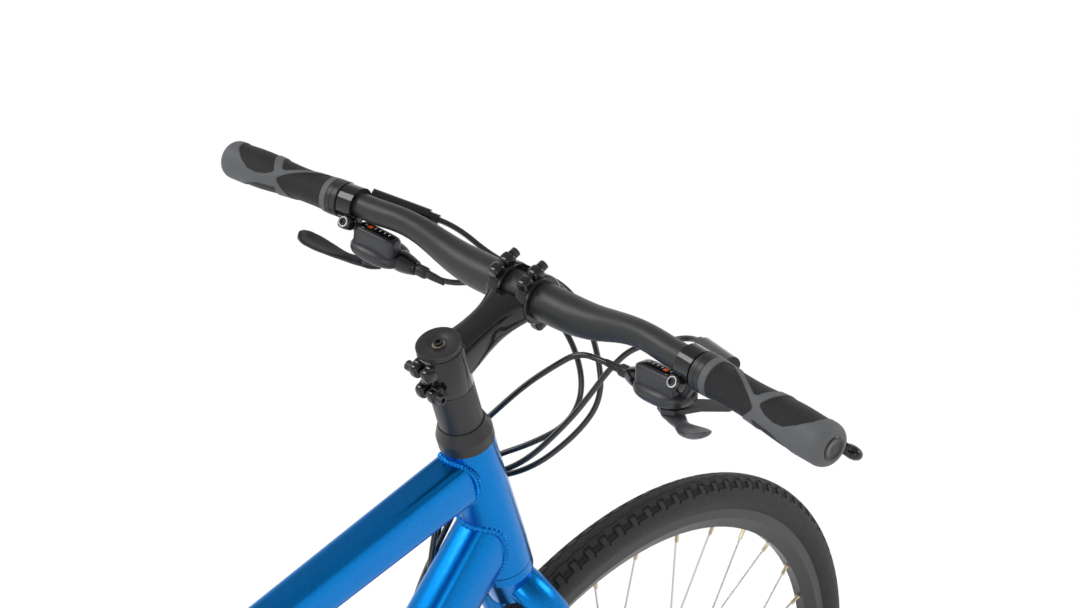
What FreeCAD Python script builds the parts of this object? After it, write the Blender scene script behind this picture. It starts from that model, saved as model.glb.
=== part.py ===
"""A flat-bar hybrid bike with disc brakes, as an assembly of separate pieces.

The frame of reference stands on the ground midway between the axles: +X is ahead, +Y is
the rider's left and +Z is up. Lengths are in millimetres and angles in degrees.
"""

import FreeCAD
import Part
import Sketcher
import math
import os
import re
from types import SimpleNamespace
from FreeCAD import Placement, Rotation, Vector

# Driving dimensions. Names that end in share are parts of the size that they follow.
SIZES = {
    # geometry of the bike
    "tyre_radius": 348.0,
    "chainstay_length": 445.0,
    "bracket_drop": 68.0,
    "frame_reach": 395.0,
    "head_angle": 71.0,
    "seat_angle": 73.0,
    "head_tube_length": 145.0,
    "seat_tube_length": 475.0,
    "fork_length": 408.0,
    "fork_offset": 50.0,
    # clearances
    "running_gap": 0.08,
    "body_gap": 0.4,
    "overrun": 5.0,
    # head tube and its bearings
    "head_upper_radius": 23.0,
    "head_lower_radius": 25.5,
    "head_flare": 24.0,
    "head_bore": 18.5,
    "bearing_seat_radius": 20.8,
    "bearing_depth": 8.0,
    "steerer_radius": 14.3,
    "steerer_bore": 11.4,
    # top tube and down tube
    "top_tube_drop": 31.0,
    "top_tube_seat_drop": 42.0,
    "top_tube_front_width": 36.0,
    "top_tube_front_height": 45.0,
    "top_tube_rear_width": 31.0,
    "top_tube_rear_height": 31.0,
    "down_tube_drop": 101.0,
    "down_tube_front_width": 44.0,
    "down_tube_front_height": 57.0,
    "down_tube_rear_width": 50.0,
    "down_tube_rear_height": 40.0,
    "tube_corner_share": 0.62,
    "tube_wall": 2.0,
    "boss_radius": 5.0,
    "boss_bore": 2.1,
    "boss_height": 3.0,
    "boss_spacing": 64.0,
    "boss_place_share": 0.46,
    "sink_share": 0.5,
    # seat tube, bottom bracket shell and seat collar
    "seat_tube_radius": 16.0,
    "seatpost_radius": 13.6,
    "shell_radius": 21.0,
    "shell_bore": 17.0,
    "shell_width": 68.0,
    "cup_radius": 22.0,
    "cup_flange": 4.0,
    "cup_depth": 18.0,
    "spindle_radius": 12.0,
    "collar_wall": 4.0,
    "collar_height": 15.0,
    "collar_ear": 11.0,
    "collar_slot": 2.4,
    "collar_lip": 2.0,
    "ear_share": 0.75,
    "ear_bolt_share": 0.1,
    "collar_bolt_radius": 2.5,
    # rear triangle
    "rear_spacing": 135.0,
    "dropout_thickness": 7.0,
    "stay_stand_off": 2.5,
    "tyre_gap": 5.5,
    "chainstay_half_width": 8.0,
    "chainstay_half_height": 13.0,
    "chainstay_end_half_width": 5.0,
    "chainstay_end_half_height": 8.5,
    "seatstay_half_width": 7.0,
    "seatstay_half_height": 9.0,
    "seatstay_end_half_width": 5.0,
    "seatstay_end_half_height": 7.0,
    "seatstay_drop": 62.0,
    "stay_end": 20.0,
    "dropout_reach": 46.0,
    "hanger_back": 9.0,
    "hanger_drop": 29.0,
    "hanger_radius": 9.0,
    "hanger_bolt_radius": 4.0,
    "dropout_corner": 3.5,
    "eyelet_radius": 2.1,
    "bridge_radius": 5.0,
    "bridge_gap": 16.0,
    "low_front_share": 0.95,
    "low_fall_share": 0.38,
    "front_rise_share": 0.06,
    "notch_share": 0.6,
    "notch_rise_share": 0.24,
    "upper_share": 0.8,
    "upper_rise_share": 0.6,
    "crest_share": 0.5,
    "crest_rise_share": 0.84,
    "back_share": 0.32,
    "back_rise_share": 0.2,
    "hanger_nib_share": 0.4,
    "eyelet_ahead_share": 0.14,
    "eyelet_rise_share": 0.34,
    "stay_mid_share": 0.5,
    "stay_bow_share": 0.56,
    "chainstay_start": 22.0,
    "seatstay_start": 9.0,
    # tyres, tubes and rims
    "tyre_width": 36.0,
    "tyre_wall": 2.4,
    "tread_half_width": 13.0,
    "tread_shoulder_drop": 4.2,
    "rim_edge_radius": 317.0,
    "bead_radius": 311.0,
    "rim_width": 24.0,
    "rim_wall": 1.8,
    "rim_depth": 22.0,
    "rim_nose_width": 11.0,
    "tube_radius": 13.8,
    "valve_radius": 3.0,
    "valve_length": 40.0,
    "rim_bed_drop": 2.5,
    "rim_side_share": 0.45,
    # spokes
    "spoke_radius": 1.0,
    "spoke_count": 32.0,
    "spoke_crosses": 3.0,
    # hubs and axles
    "front_spacing": 100.0,
    "axle_radius": 4.6,
    "skewer_radius": 2.5,
    "hub_inset": 3.0,
    "hub_end_radius": 9.0,
    "hub_shell_radius": 13.0,
    "flange_radius": 29.0,
    "flange_width": 3.4,
    "front_flange_left": 20.0,
    "front_flange_right": -33.0,
    "rear_flange_left": 33.0,
    "rear_flange_right": -21.0,
    "rear_hub_shell_radius": 16.0,
    "rotor_inset": 15.4,
    "rotor_boss_radius": 22.0,
    "axle_head_radius": 8.0,
    "axle_head_length": 6.0,
    "axle_collar_radius": 8.5,
    "hub_step": 2.0,
    "head_top_share": 0.72,
    "axle_stub_inset": 1.0,
    "spoke_hole_inset": 3.0,
    # brake rotors and calipers
    "rotor_radius": 80.0,
    "rotor_thickness": 1.8,
    "rotor_track": 15.0,
    "rotor_bore": 17.5,
    "rotor_hole_radius": 2.6,
    "rotor_hole_count": 20.0,
    "rotor_arm_count": 6.0,
    "rotor_arm_width": 9.0,
    "rotor_arm_lean_angle": 24.0,
    "rotor_land": 4.0,
    "hole_low_share": 0.62,
    "hole_high_share": 0.36,
    "pad_thickness": 3.0,
    "pad_gap": 0.4,
    "pad_width": 26.0,
    "pad_height": 15.0,
    "caliper_length": 50.0,
    "caliper_height": 36.0,
    "caliper_outer": 17.0,
    "caliper_inner": 10.5,
    "caliper_bridge": 9.0,
    "caliper_corner": 4.0,
    "caliper_step_share": 0.1,
    "caliper_top_share": 0.28,
    "front_caliper_angle": 140.0,
    "rear_caliper_angle": 17.0,
    # chain and sprockets
    "chain_pitch": 12.7,
    "step_low_share": 0.9,
    "step_high_share": 1.3,
    "roller_radius": 3.85,
    "pin_radius": 1.8,
    "link_half_height": 4.1,
    "link_waist_share": 0.78,
    "link_inner_half_width": 1.25,
    "link_plate": 0.95,
    "sprocket_thickness": 1.8,
    "tooth_height": 3.1,
    "tooth_tip": 0.9,
    "tooth_seat_gap": 0.15,
    "flank_angle": 18.0,
    "chainline": 48.4,
    "cog_spacing": 4.8,
    "rest_cog_place": 3.0,
    "cog_bore": 17.0,
    "cog_spacer_radius": 18.2,
    "lockring_radius": 17.6,
    "lockring_bore": 12.0,
    "lockring_height": 1.2,
    "large_ring_teeth": 46.0,
    "small_ring_teeth": 30.0,
    "pulley_teeth": 11.0,
    "ring_spacing": 8.0,
    # crank and pedals
    "crank_length": 170.0,
    "crank_boss_radius": 19.0,
    "crank_eye_radius": 13.5,
    "crank_arm_width": 30.0,
    "crank_arm_depth": 15.0,
    "crank_outset": 16.0,
    "crank_corner_share": 0.6,
    "crank_eye_share": 0.44,
    "bolt_head_share": 0.25,
    "ring_gap": 4.6,
    "spider_count": 4.0,
    "spider_reach": 58.0,
    "spider_width": 17.0,
    "ring_bolt_circle": 52.0,
    "ring_bolt_radius": 4.0,
    "ring_bolt_head": 6.0,
    "ring_land": 9.0,
    "pedal_axle_radius": 6.0,
    "pedal_tip_radius": 4.5,
    "pedal_gap": 5.0,
    "pedal_length": 94.0,
    "pedal_width": 74.0,
    "pedal_height": 20.0,
    "pedal_rail": 11.0,
    "pedal_core_radius": 10.5,
    "pedal_corner": 14.0,
    "pedal_edge": 2.0,
    "pedal_inner_share": 0.8,
    # seatpost and saddle
    "seatpost_top": 655.0,
    "seatpost_length": 320.0,
    "seatpost_wall": 2.2,
    "saddle_length": 268.0,
    "saddle_width": 164.0,
    "saddle_rise": 54.0,
    "saddle_back_share": 0.5,
    "saddle_depth": 44.0,
    "saddle_wall": 15.0,
    "saddle_flank_share": 0.7,
    "rail_radius": 3.5,
    "rail_half_spread": 22.0,
    "rail_lift": 15.0,
    "rail_clamp_length": 42.0,
    "rail_clamp_width": 58.0,
    "rail_clamp_height": 9.0,
    "rail_clamp_corner": 4.0,
    "post_head_radius": 17.0,
    # fork
    "crown_gap": 0.8,
    "crown_height": 38.0,
    "crown_lip": 9.0,
    "crown_low_radius": 19.0,
    "crown_clearance": 1.4,
    "blade_half_width": 11.5,
    "blade_half_depth": 17.0,
    "blade_end_half_width": 7.0,
    "blade_end_half_depth": 9.5,
    "blade_shoulder": 56.0,
    "blade_root_share": 0.5,
    "blade_elbow_share": 0.62,
    "blade_elbow_out_share": 0.68,
    "blade_end": 24.0,
    "fork_corner": 5.0,
    "fork_eyelet_share": 0.66,
    "blade_tyre_gap": 10.0,
    "fork_dropout": 7.0,
    "fork_dropout_half": 13.0,
    "fork_dropout_reach": 34.0,
    # headset stack and stem
    "stack_gap": 0.5,
    "cover_height": 21.5,
    "cover_band": 10.0,
    "cover_radius": 23.5,
    "cover_neck_radius": 19.4,
    "spacer_height": 39.0,
    "spacer_radius": 18.6,
    "stem_height": 40.0,
    "stem_clamp_radius": 18.8,
    "top_cap_radius": 18.2,
    "top_cap_height": 4.5,
    "steerer_inset": 3.0,
    "cap_edge_share": 0.4,
    "cap_face_share": 0.9,
    "cap_bolt_length": 26.0,
    "stem_corner_share": 0.5,
    "stem_waist_share": 0.5,
    "pinch_sink_share": 0.1,
    "stem_length": 93.0,
    "stem_rise_angle": 4.5,
    "stem_root_width": 34.0,
    "stem_root_height": 40.0,
    "stem_waist_width": 29.0,
    "stem_waist_height": 31.0,
    "bar_clamp_radius": 21.0,
    "bar_clamp_width": 46.0,
    "bar_clamp_window": 17.0,
    "faceplate_gap": 3.0,
    "faceplate_ear": 29.0,
    "clamp_ear_depth": 24.0,
    "clamp_ear_corner": 6.0,
    "clamp_bolt_spread": 15.5,
    "clamp_bolt_rise": 22.8,
    "clamp_land_share": 0.75,
    "bolt_radius": 2.5,
    "bolt_head_radius": 4.2,
    "bolt_head_length": 5.0,
    "bolt_socket_radius": 2.2,
    "socket_share": 0.4,
    "pinch_ear_depth": 13.0,
    "pinch_ear_width": 23.0,
    "pinch_bolt_spread": 11.0,
    "pinch_bolt_back": 22.0,
    "pinch_slot": 2.2,
    # handlebar and grips
    "bar_half_width": 326.0,
    "bar_clamp_half": 45.0,
    "bar_centre_radius": 15.9,
    "bar_end_radius": 11.1,
    "bar_wall": 2.0,
    "bar_rise": 15.0,
    "bar_sweep": 30.0,
    "bar_taper_end": 130.0,
    "bar_bend_start": 53.0,
    "bar_bend_end": 139.0,
    "grip_length": 118.0,
    "grip_inner_radius": 15.6,
    "grip_waist_radius": 14.8,
    "grip_palm_radius": 17.6,
    "grip_end_radius": 17.0,
    "grip_end_cap": 5.0,
    "grip_waist_share": 0.3,
    "grip_palm_share": 0.74,
    "lock_ring_width": 11.0,
    "lock_ring_radius": 15.8,
    # brake levers and shifters
    "lever_clamp_width": 15.0,
    "lever_clamp_radius": 15.2,
    "lever_clamp_gap": 1.5,
    "master_radius": 6.4,
    "master_start": 7.0,
    "master_end": 42.0,
    "master_ahead": 32.0,
    "master_end_ahead": 50.0,
    "master_fall": 6.0,
    "master_end_fall": 17.0,
    "lever_tilt_angle": 33.0,
    "lever_reach": 58.0,
    "lever_pivot_reach": 35.0,
    "lever_pivot_radius": 3.0,
    "lever_play": 0.2,
    "lever_ear_width": 17.0,
    "lever_ear_height": 18.0,
    "lever_slot_start": 24.0,
    "lever_thickness": 9.0,
    "lever_length": 122.0,
    "lever_corner": 3.0,
    "lever_edge": 1.5,
    "cap_waist_share": 0.7,
    "master_nose": 9.0,
    "pod_length": 54.0,
    "pod_width": 38.0,
    "pod_height": 18.0,
    "pod_floor": 13.0,
    "pod_drop": 31.0,
    "pod_inset": 30.0,
    "pod_corner": 14.0,
    "pod_edge": 6.0,
    "pod_tilt_angle": 6.0,
    "nose_root_radius": 9.5,
    "nose_tip_radius": 6.0,
    "nose_length": 14.0,
    "adjuster_radius": 4.6,
    "adjuster_length": 16.0,
    "window_length": 44.0,
    "window_width": 16.0,
    "window_height": 12.0,
    "window_level": 11.0,
    "window_back": 6.0,
    "window_corner": 3.0,
    "window_edge": 1.5,
    "pod_neck_radius": 5.0,
    "pod_neck_outset": 21.0,
    "shift_pivot_radius": 3.0,
    "thumb_root_length": 34.0,
    "thumb_root_width": 24.0,
    "thumb_blade_length": 50.0,
    "thumb_blade_width": 24.0,
    "thumb_reach": 22.0,
    "thumb_back_angle": 24.0,
    "thumb_tilt_angle": 16.0,
    "thumb_thickness": 5.0,
    "thumb_corner": 3.0,
    "thumb_edge": 1.2,
    "trigger_length": 40.0,
    "trigger_width": 44.0,
    "trigger_thickness": 4.0,
    "pivot_outset": 8.0,
    # rear derailleur
    "guide_ahead": 8.0,
    "guide_drop": 82.0,
    "cage_length": 62.0,
    "cage_start_angle": 24.0,
    "cage_swing_angle": 28.0,
    "swing_knuckle_length": 11.0,
    "cage_plate": 1.4,
    "cage_half_gap": 5.3,
    "cage_half_width": 8.0,
    "pulley_axle_radius": 2.5,
    "knuckle_radius": 9.5,
    "knuckle_length": 17.0,
    "link_ahead": 42.0,
    "link_inboard": 11.0,
    "link_fall": 20.0,
    "link_slant_angle": 42.0,
    "link_pin_radius": 2.2,
    "link_eye_radius": 4.8,
    "link_bar_width": 9.0,
    "link_pair_spacing": 13.0,
    "link_ear": 3.5,
    "link_ear_radius": 6.2,
    "link_bridge": 10.0,
    "link_bridge_place": 14.0,
    "link_half_span": 13.0,
    "link_top_back": 26.0,
    "link_top_drop": 46.0,
    "link_top_outboard": 92.0,
    "knuckle_arm_radius": 5.0,
    "cage_stud_radius": 4.0,
    # front derailleur
    "mech_band_height": 12.0,
    "mech_band_wall": 3.5,
    "mech_place": 152.0,
    "mech_link_half": 7.0,
    "mech_eye_radius": 4.5,
    "mech_bridge_share": 1.6,
    "mech_set_share": 2.2,
    "mech_pin_radius": 2.2,
    "mech_ear": 3.0,
    "mech_back": 28.0,
    "mech_body_out": 30.0,
    "mech_body_up": 152.0,
    "mech_cage_out": 47.0,
    "mech_cage_up": 131.0,
    "mech_arm_radius": 6.0,
    "mech_cage_plate": 1.3,
    "mech_cage_half_gap": 6.0,
    "mech_cage_clearance": 8.0,
    "mech_bridge": 3.0,
    "mech_bridge_length": 30.0,
    "mech_corner": 3.0,
    "mech_roof_share": 1.14,
    # hoses and housings
    "hose_lead": 16.0,
    "hose_radius": 2.5,
    "bend_share": 0.45,
}

BAR_STEPS = 13
COGS = [11, 13, 15, 18, 21, 24, 28, 32]

doc = FreeCAD.newDocument("hybrid_bike")
sheet = doc.addObject("Spreadsheet::Sheet", "sizes")
for row, (alias, amount) in enumerate(SIZES.items(), 1):
    sheet.set(f"A{row}", alias)
    sheet.set(f"B{row}", str(amount))
    sheet.setAlias(f"B{row}", alias)
doc.recompute()
size = SimpleNamespace(**{alias: float(sheet.get(alias)) for alias in SIZES})
nodes = {}

AHEAD = Vector(1, 0, 0)
LEFT = Vector(0, 1, 0)
UP = Vector(0, 0, 1)


# Tools that the pieces share
def bound(text):
    """The expression with each alias read from the sheet."""
    return re.sub(r"\b[a-z][a-z_0-9]*\b(?!\()", r"sizes.\g<0>", text)


def worth(text):
    """The value of an expression of aliases."""
    return float(sheet.evalExpression(text))


def unit(vector):
    """A copy of the vector, one long."""
    return Vector(vector).normalize()


def aslant(angle):
    """The direction in the bike's plane at an angle above straight ahead."""
    return Vector(math.cos(math.radians(angle)), 0, math.sin(math.radians(angle)))


def drawn(body, plane, outline):
    """A closed sketch whose corners are held by pairs of expressions."""
    sketch = body.newObject("Sketcher::SketchObject", "Outline")
    origin = [item for item in body.Origin.OriginFeatures if item.Role == plane][0]
    sketch.AttachmentSupport = (origin, [""])
    sketch.MapMode = "FlatFace"
    spots = [Vector(worth(across), worth(up), 0) for across, up in outline]
    for index, spot in enumerate(spots):
        sketch.addGeometry(Part.LineSegment(spot, spots[(index + 1) % len(spots)]))
    rules = []
    texts = []
    for index in range(len(spots)):
        rules.append(Sketcher.Constraint("Coincident", index, 2, (index + 1) % len(spots), 1))
        texts.append(None)
    for index, pair in enumerate(outline):
        for kind, axis, text in (("DistanceX", -2, pair[0]), ("DistanceY", -1, pair[1])):
            if text == "0":
                rules.append(Sketcher.Constraint("PointOnObject", index, 1, axis))
                texts.append(None)
            else:
                rules.append(Sketcher.Constraint(kind, -1, 1, index, 1, worth(text)))
                texts.append(text)
    sketch.addConstraint(rules)
    for index, text in enumerate(texts):
        if text:
            sketch.setExpression(f"Constraints[{index}]", bound(text))
    return sketch


def turned(label, outline, base, axis):
    """A body of revolution: pairs of radius and height, the height along the axis from the base."""
    body = doc.addObject("PartDesign::Body", label)
    sketch = drawn(body, "XZ_Plane", outline)
    spin = body.newObject("PartDesign::Revolution", "Turn")
    spin.Profile = sketch
    spin.ReferenceAxis = (sketch, ["V_Axis"])
    spin.Angle = 360
    body.Tip = spin
    body.Placement = Placement(base, Rotation(UP, axis))
    return body


def plate(label, outline, thickness, base, ahead, normal, corner=None, edge=None):
    """A flat piece: an outline padded both ways along the normal, its corners and edges rounded if asked."""
    body = doc.addObject("PartDesign::Body", label)
    sketch = drawn(body, "XY_Plane", outline)
    pad = body.newObject("PartDesign::Pad", "Thickness")
    pad.Profile = sketch
    pad.setExpression("Length", bound(thickness))
    pad.SideType = "Symmetric"
    body.Tip = pad
    if corner:
        doc.recompute()
        edges = enumerate(pad.Shape.Edges, 1)
        upright = [f"Edge{index}" for index,
                   edge in edges if abs(edge.tangentAt(edge.FirstParameter).z) > 0.9]
        fillet = body.newObject("PartDesign::Fillet", "Corners")
        fillet.Base = (pad, upright)
        fillet.setExpression("Radius", bound(corner))
        body.Tip = fillet
    if edge:
        doc.recompute()
        half = worth(thickness) / 2 - size.running_gap
        edges = enumerate(fillet.Shape.Edges, 1)
        border = [f"Edge{index}" for index, line in edges
                  if all(abs(corner.Z) > half for corner in line.Vertexes)
                  and line.Vertexes[0].Z * line.Vertexes[-1].Z > 0]
        soften = body.newObject("PartDesign::Fillet", "Edges")
        soften.Base = (fillet, border)
        soften.setExpression("Radius", bound(edge))
        body.Tip = soften
    body.Placement = Placement(base, Rotation(ahead, normal.cross(ahead), normal, "ZXY"))
    return body


def rod(label, radius, start, end, bore=None):
    """A straight round bar from start to end, or a tube if it has a bore."""
    bar = doc.addObject("Part::Cylinder", label)
    bar.setExpression("Radius", bound(radius))
    bar.Height = (end - start).Length
    bar.Placement = Placement(start, Rotation(UP, end - start))
    if bore is None:
        return bar
    return cut(label + "_tube", bar, rod(label + "_bore", bore, start, end))


def block(label, long, wide, tall, centre, ahead, normal):
    """A box about its centre: long runs ahead, tall along the normal."""
    box = doc.addObject("Part::Box", label)
    box.setExpression("Length", bound(long))
    box.setExpression("Width", bound(wide))
    box.setExpression("Height", bound(tall))
    across = normal.cross(ahead)
    half = ahead * (worth(long) / 2) + across * (worth(wide) / 2) + normal * (worth(tall) / 2)
    box.Placement = Placement(centre - half, Rotation(ahead, across, normal, "ZXY"))
    return box


def cut(label, base, *tools):
    """The base with each tool taken away."""
    for index, tool in enumerate(tools):
        piece = doc.addObject("Part::Cut", f"{label}_{index}" if index < len(tools) - 1 else label)
        piece.Base = base
        piece.Tool = tool
        base = piece
    return base


def fused(label, *pieces):
    """One solid out of pieces that lap."""
    joined = doc.addObject("Part::MultiFuse", label)
    joined.Shapes = list(pieces)
    joined.Refine = True
    return joined


def mirrored(label, source):
    """The piece for the other side of the bike."""
    copy = doc.addObject("Part::Mirroring", label)
    copy.Source = source
    copy.Normal = LEFT
    return copy


def formed(label, shape):
    """A piece whose form was swept or lofted."""
    piece = doc.addObject("Part::Feature", label)
    piece.Shape = shape
    return piece


def group(label, *pieces):
    """Separate solids that are handed over in one file."""
    together = doc.addObject("Part::Compound", label)
    together.Links = list(pieces)
    return keep(label, together)


def keep(label, piece):
    """Mark a piece as one that is written out under its label."""
    piece.Label = label
    nodes[label] = piece
    return piece


def placed(wire, centre, across, normal):
    """The wire moved from the XY plane to face along the normal."""
    wire.Placement = Placement(centre, Rotation(across, normal.cross(across), normal, "ZXY"))
    return wire


def oval(centre, across, normal, half_across, half_up):
    """An oval wire that faces along the normal."""
    stretch = FreeCAD.Matrix()
    stretch.scale(half_across, half_up, 1)
    ring = Part.Wire(Part.makeCircle(1)).transformGeometry(stretch)
    return placed(ring, centre, across, normal)


def soft_box(centre, across, normal, half_across, half_up, corner):
    """A rectangle with round corners that faces along the normal."""
    wide = half_across - corner
    tall = half_up - corner
    edges = []
    turns = [(wide, tall, 0), (-wide, tall, 90), (-wide, -tall, 180), (wide, -tall, 270)]
    for x, y, angle in turns:
        ends = [Vector(x, y, 0) + corner * Vector(math.cos(math.radians(angle + step)),
                math.sin(math.radians(angle + step)), 0) for step in (0, 45, 90)]
        if edges:
            edges.append(Part.makeLine(edges[-1].Vertexes[-1].Point, ends[0]))
        edges.append(Part.Arc(*ends).toShape())
    edges.append(Part.makeLine(edges[-1].Vertexes[-1].Point, edges[0].Vertexes[0].Point))
    return placed(Part.Wire(edges), centre, across, normal)


def loft(*wires):
    """A solid through the wires."""
    return Part.makeLoft(list(wires), True)


def cord(label, radius, points):
    """A round cord along straight runs that tangent arcs join."""
    points = [Vector(*point) for point in points]
    edges = []
    start = points[0]
    for before, corner, after in zip(points, points[1:], points[2:]):
        back = before - corner
        onward = after - corner
        half = back.getAngle(onward) / 2
        reach = size.bend_share * min(back.Length, onward.Length)
        begin = corner + unit(back) * reach
        finish = corner + unit(onward) * reach
        middle = unit(unit(back) + unit(onward))
        dip = reach / math.cos(half) - reach * math.tan(half)
        edges.append(Part.LineSegment(start, begin).toShape())
        edges.append(Part.Arc(begin, corner + middle * dip, finish).toShape())
        start = finish
    edges.append(Part.LineSegment(start, points[-1]).toShape())
    path = Part.Wire(edges)
    section = Part.Wire(Part.makeCircle(worth(radius), points[0], points[1] - points[0]))
    shape = path.makePipeShell([section], True, False)
    expected = math.pi * worth(radius) ** 2 * path.Length
    if abs(shape.Volume / expected - 1) > 0.02:
        raise RuntimeError(label + " doesn't fill its path")
    return formed(label, shape)


# Points that the pieces share
head_slope = math.radians(size.head_angle)
seat_slope = math.radians(size.seat_angle)
steer_up = Vector(-math.cos(head_slope), 0, math.sin(head_slope))
steer_ahead = Vector(math.sin(head_slope), 0, math.cos(head_slope))
seat_up = Vector(-math.cos(seat_slope), 0, math.sin(seat_slope))
seat_ahead = Vector(math.sin(seat_slope), 0, math.cos(seat_slope))
stay_run = math.sqrt(size.chainstay_length ** 2 - size.bracket_drop ** 2)
front_run = (size.fork_length + size.head_tube_length) * math.cos(head_slope)
front_run += size.fork_offset * math.sin(head_slope)
wheelbase = stay_run + size.frame_reach + front_run
rear_axle = Vector(-wheelbase / 2, 0, size.tyre_radius)
front_axle = Vector(wheelbase / 2, 0, size.tyre_radius)
bracket = rear_axle + Vector(stay_run, 0, -size.bracket_drop)
head_bottom = front_axle - steer_ahead * size.fork_offset + steer_up * size.fork_length
head_top = head_bottom + steer_up * size.head_tube_length
seat_top = bracket + seat_up * size.seat_tube_length

# Head tube with its bearings
head_core = turned("head_core", [
    ("0", "0"),
    ("head_lower_radius", "0"),
    ("head_lower_radius", "head_flare"),
    ("head_upper_radius", "head_tube_length - head_flare"),
    ("head_upper_radius", "head_tube_length"),
    ("0", "head_tube_length"),
], head_bottom, steer_up)
keep("head_tube", turned("head_tube", [
    ("head_bore", "bearing_depth"),
    ("bearing_seat_radius", "bearing_depth"),
    ("bearing_seat_radius", "0"),
    ("head_lower_radius", "0"),
    ("head_lower_radius", "head_flare"),
    ("head_upper_radius", "head_tube_length - head_flare"),
    ("head_upper_radius", "head_tube_length"),
    ("bearing_seat_radius", "head_tube_length"),
    ("bearing_seat_radius", "head_tube_length - bearing_depth"),
    ("head_bore", "head_tube_length - bearing_depth"),
], head_bottom, steer_up))
ring_outline = [
    ("steerer_radius + running_gap", "0"),
    ("bearing_seat_radius", "0"),
    ("bearing_seat_radius", "bearing_depth"),
    ("steerer_radius + running_gap", "bearing_depth"),
]
lower_bearing = turned("lower_bearing", ring_outline, head_bottom, steer_up)
upper_bearing = turned("upper_bearing", ring_outline, head_top - steer_up * size.bearing_depth, steer_up)

# Bottom bracket shell, its cups, and the seat tube
shell_end = LEFT * (size.shell_width / 2)
shell_core = rod("shell_core", "shell_radius", bracket - shell_end, bracket + shell_end)
shell_bore = rod("shell_hole", "shell_bore", bracket - shell_end, bracket + shell_end)
keep("bottom_bracket_shell", cut("bottom_bracket_shell", shell_core, shell_bore))
cup_outline = [
    ("spindle_radius + running_gap", "-cup_depth"),
    ("shell_bore", "-cup_depth"),
    ("shell_bore", "0"),
    ("cup_radius", "0"),
    ("cup_radius", "cup_flange"),
    ("spindle_radius + running_gap", "cup_flange"),
]
left_cup = turned("left_cup", cup_outline, bracket + shell_end, LEFT)
right_cup = turned("right_cup", cup_outline, bracket - shell_end, -LEFT)
group("frame_bearings", lower_bearing, upper_bearing, left_cup, right_cup)

seat_core = rod("seat_core", "seat_tube_radius", bracket, seat_top)
seat_bore = rod("seat_bore", "seatpost_radius + running_gap", bracket, seat_top)


def boss(label, spot, normal, sink):
    """A round boss for a bottle cage, and the hole through it."""
    inner = spot - normal * worth(sink)
    outer = spot + normal * size.boss_height
    stud = rod(label + "_boss", "boss_radius", inner, outer)
    hole = rod(label + "_hole", "boss_bore", inner - normal * size.overrun, outer + normal * size.overrun)
    return stud, hole


def seat_boss(label, along):
    """A boss on the front of the seat tube."""
    spot = bracket + seat_up * along + seat_ahead * size.seat_tube_radius
    return boss(label, spot, seat_ahead, "(seat_tube_radius - seatpost_radius) * sink_share")


seat_boss_mid = size.seat_tube_length * size.boss_place_share
low_boss, low_hole = seat_boss("seat_low", seat_boss_mid - size.boss_spacing / 2)
high_boss, high_hole = seat_boss("seat_high", seat_boss_mid + size.boss_spacing / 2)
seat_blank = fused("seat_blank", seat_core, low_boss, high_boss)
keep("seat_tube", cut("seat_tube", seat_blank, seat_bore, low_hole, high_hole, shell_core))


# Top tube and down tube, drawn to a rounded box and mitred to their neighbours
def frame_tube(label, start, end, front, rear, bosses, *neighbours):
    """A hollow tube between two joints; front and rear hold its width and height there."""
    run = unit(end - start)
    skins = []
    for wall in (0, size.tube_wall):
        wires = []
        for spot, (width, height) in ((start, front), (end, rear)):
            half_width = width / 2 - wall
            half_height = height / 2 - wall
            corner = size.tube_corner_share * min(half_width, half_height)
            wires.append(soft_box(spot, LEFT, run, half_width, half_height, corner))
        skins.append(formed(label + "_skin", loft(*wires)))
    outer, inner = skins
    studs = [stud for stud, hole in bosses]
    holes = [hole for stud, hole in bosses]
    blank = fused(label + "_blank", outer, *studs) if studs else outer
    return keep(label, cut(label, blank, inner, *holes, *neighbours))


top_front = head_top - steer_up * size.top_tube_drop
top_rear = seat_top - seat_up * size.top_tube_seat_drop
frame_tube("top_tube", top_front, top_rear,
           (size.top_tube_front_width, size.top_tube_front_height),
           (size.top_tube_rear_width, size.top_tube_rear_height), [], head_core, seat_core)
down_front = head_top - steer_up * size.down_tube_drop
down_run = unit(down_front - bracket)
down_normal = Vector(-down_run.z, 0, down_run.x)
down_length = (down_front - bracket).Length


def down_boss(label, along):
    """A boss on the upper side of the down tube."""
    share = along / down_length
    height = size.down_tube_rear_height + share * (size.down_tube_front_height - size.down_tube_rear_height)
    spot = bracket + down_run * along + down_normal * (height / 2)
    return boss(label, spot, down_normal, "tube_wall * sink_share")


down_boss_mid = down_length * size.boss_place_share
crown_room = rod("crown_room", "head_lower_radius + crown_clearance", head_bottom,
                 head_bottom - steer_up * size.crown_height)
frame_tube("down_tube", down_front, bracket,
           (size.down_tube_front_width, size.down_tube_front_height),
           (size.down_tube_rear_width, size.down_tube_rear_height),
           [down_boss("down_low", down_boss_mid - size.boss_spacing / 2),
            down_boss("down_high", down_boss_mid + size.boss_spacing / 2)],
           head_core, shell_core, seat_core, crown_room)

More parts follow.
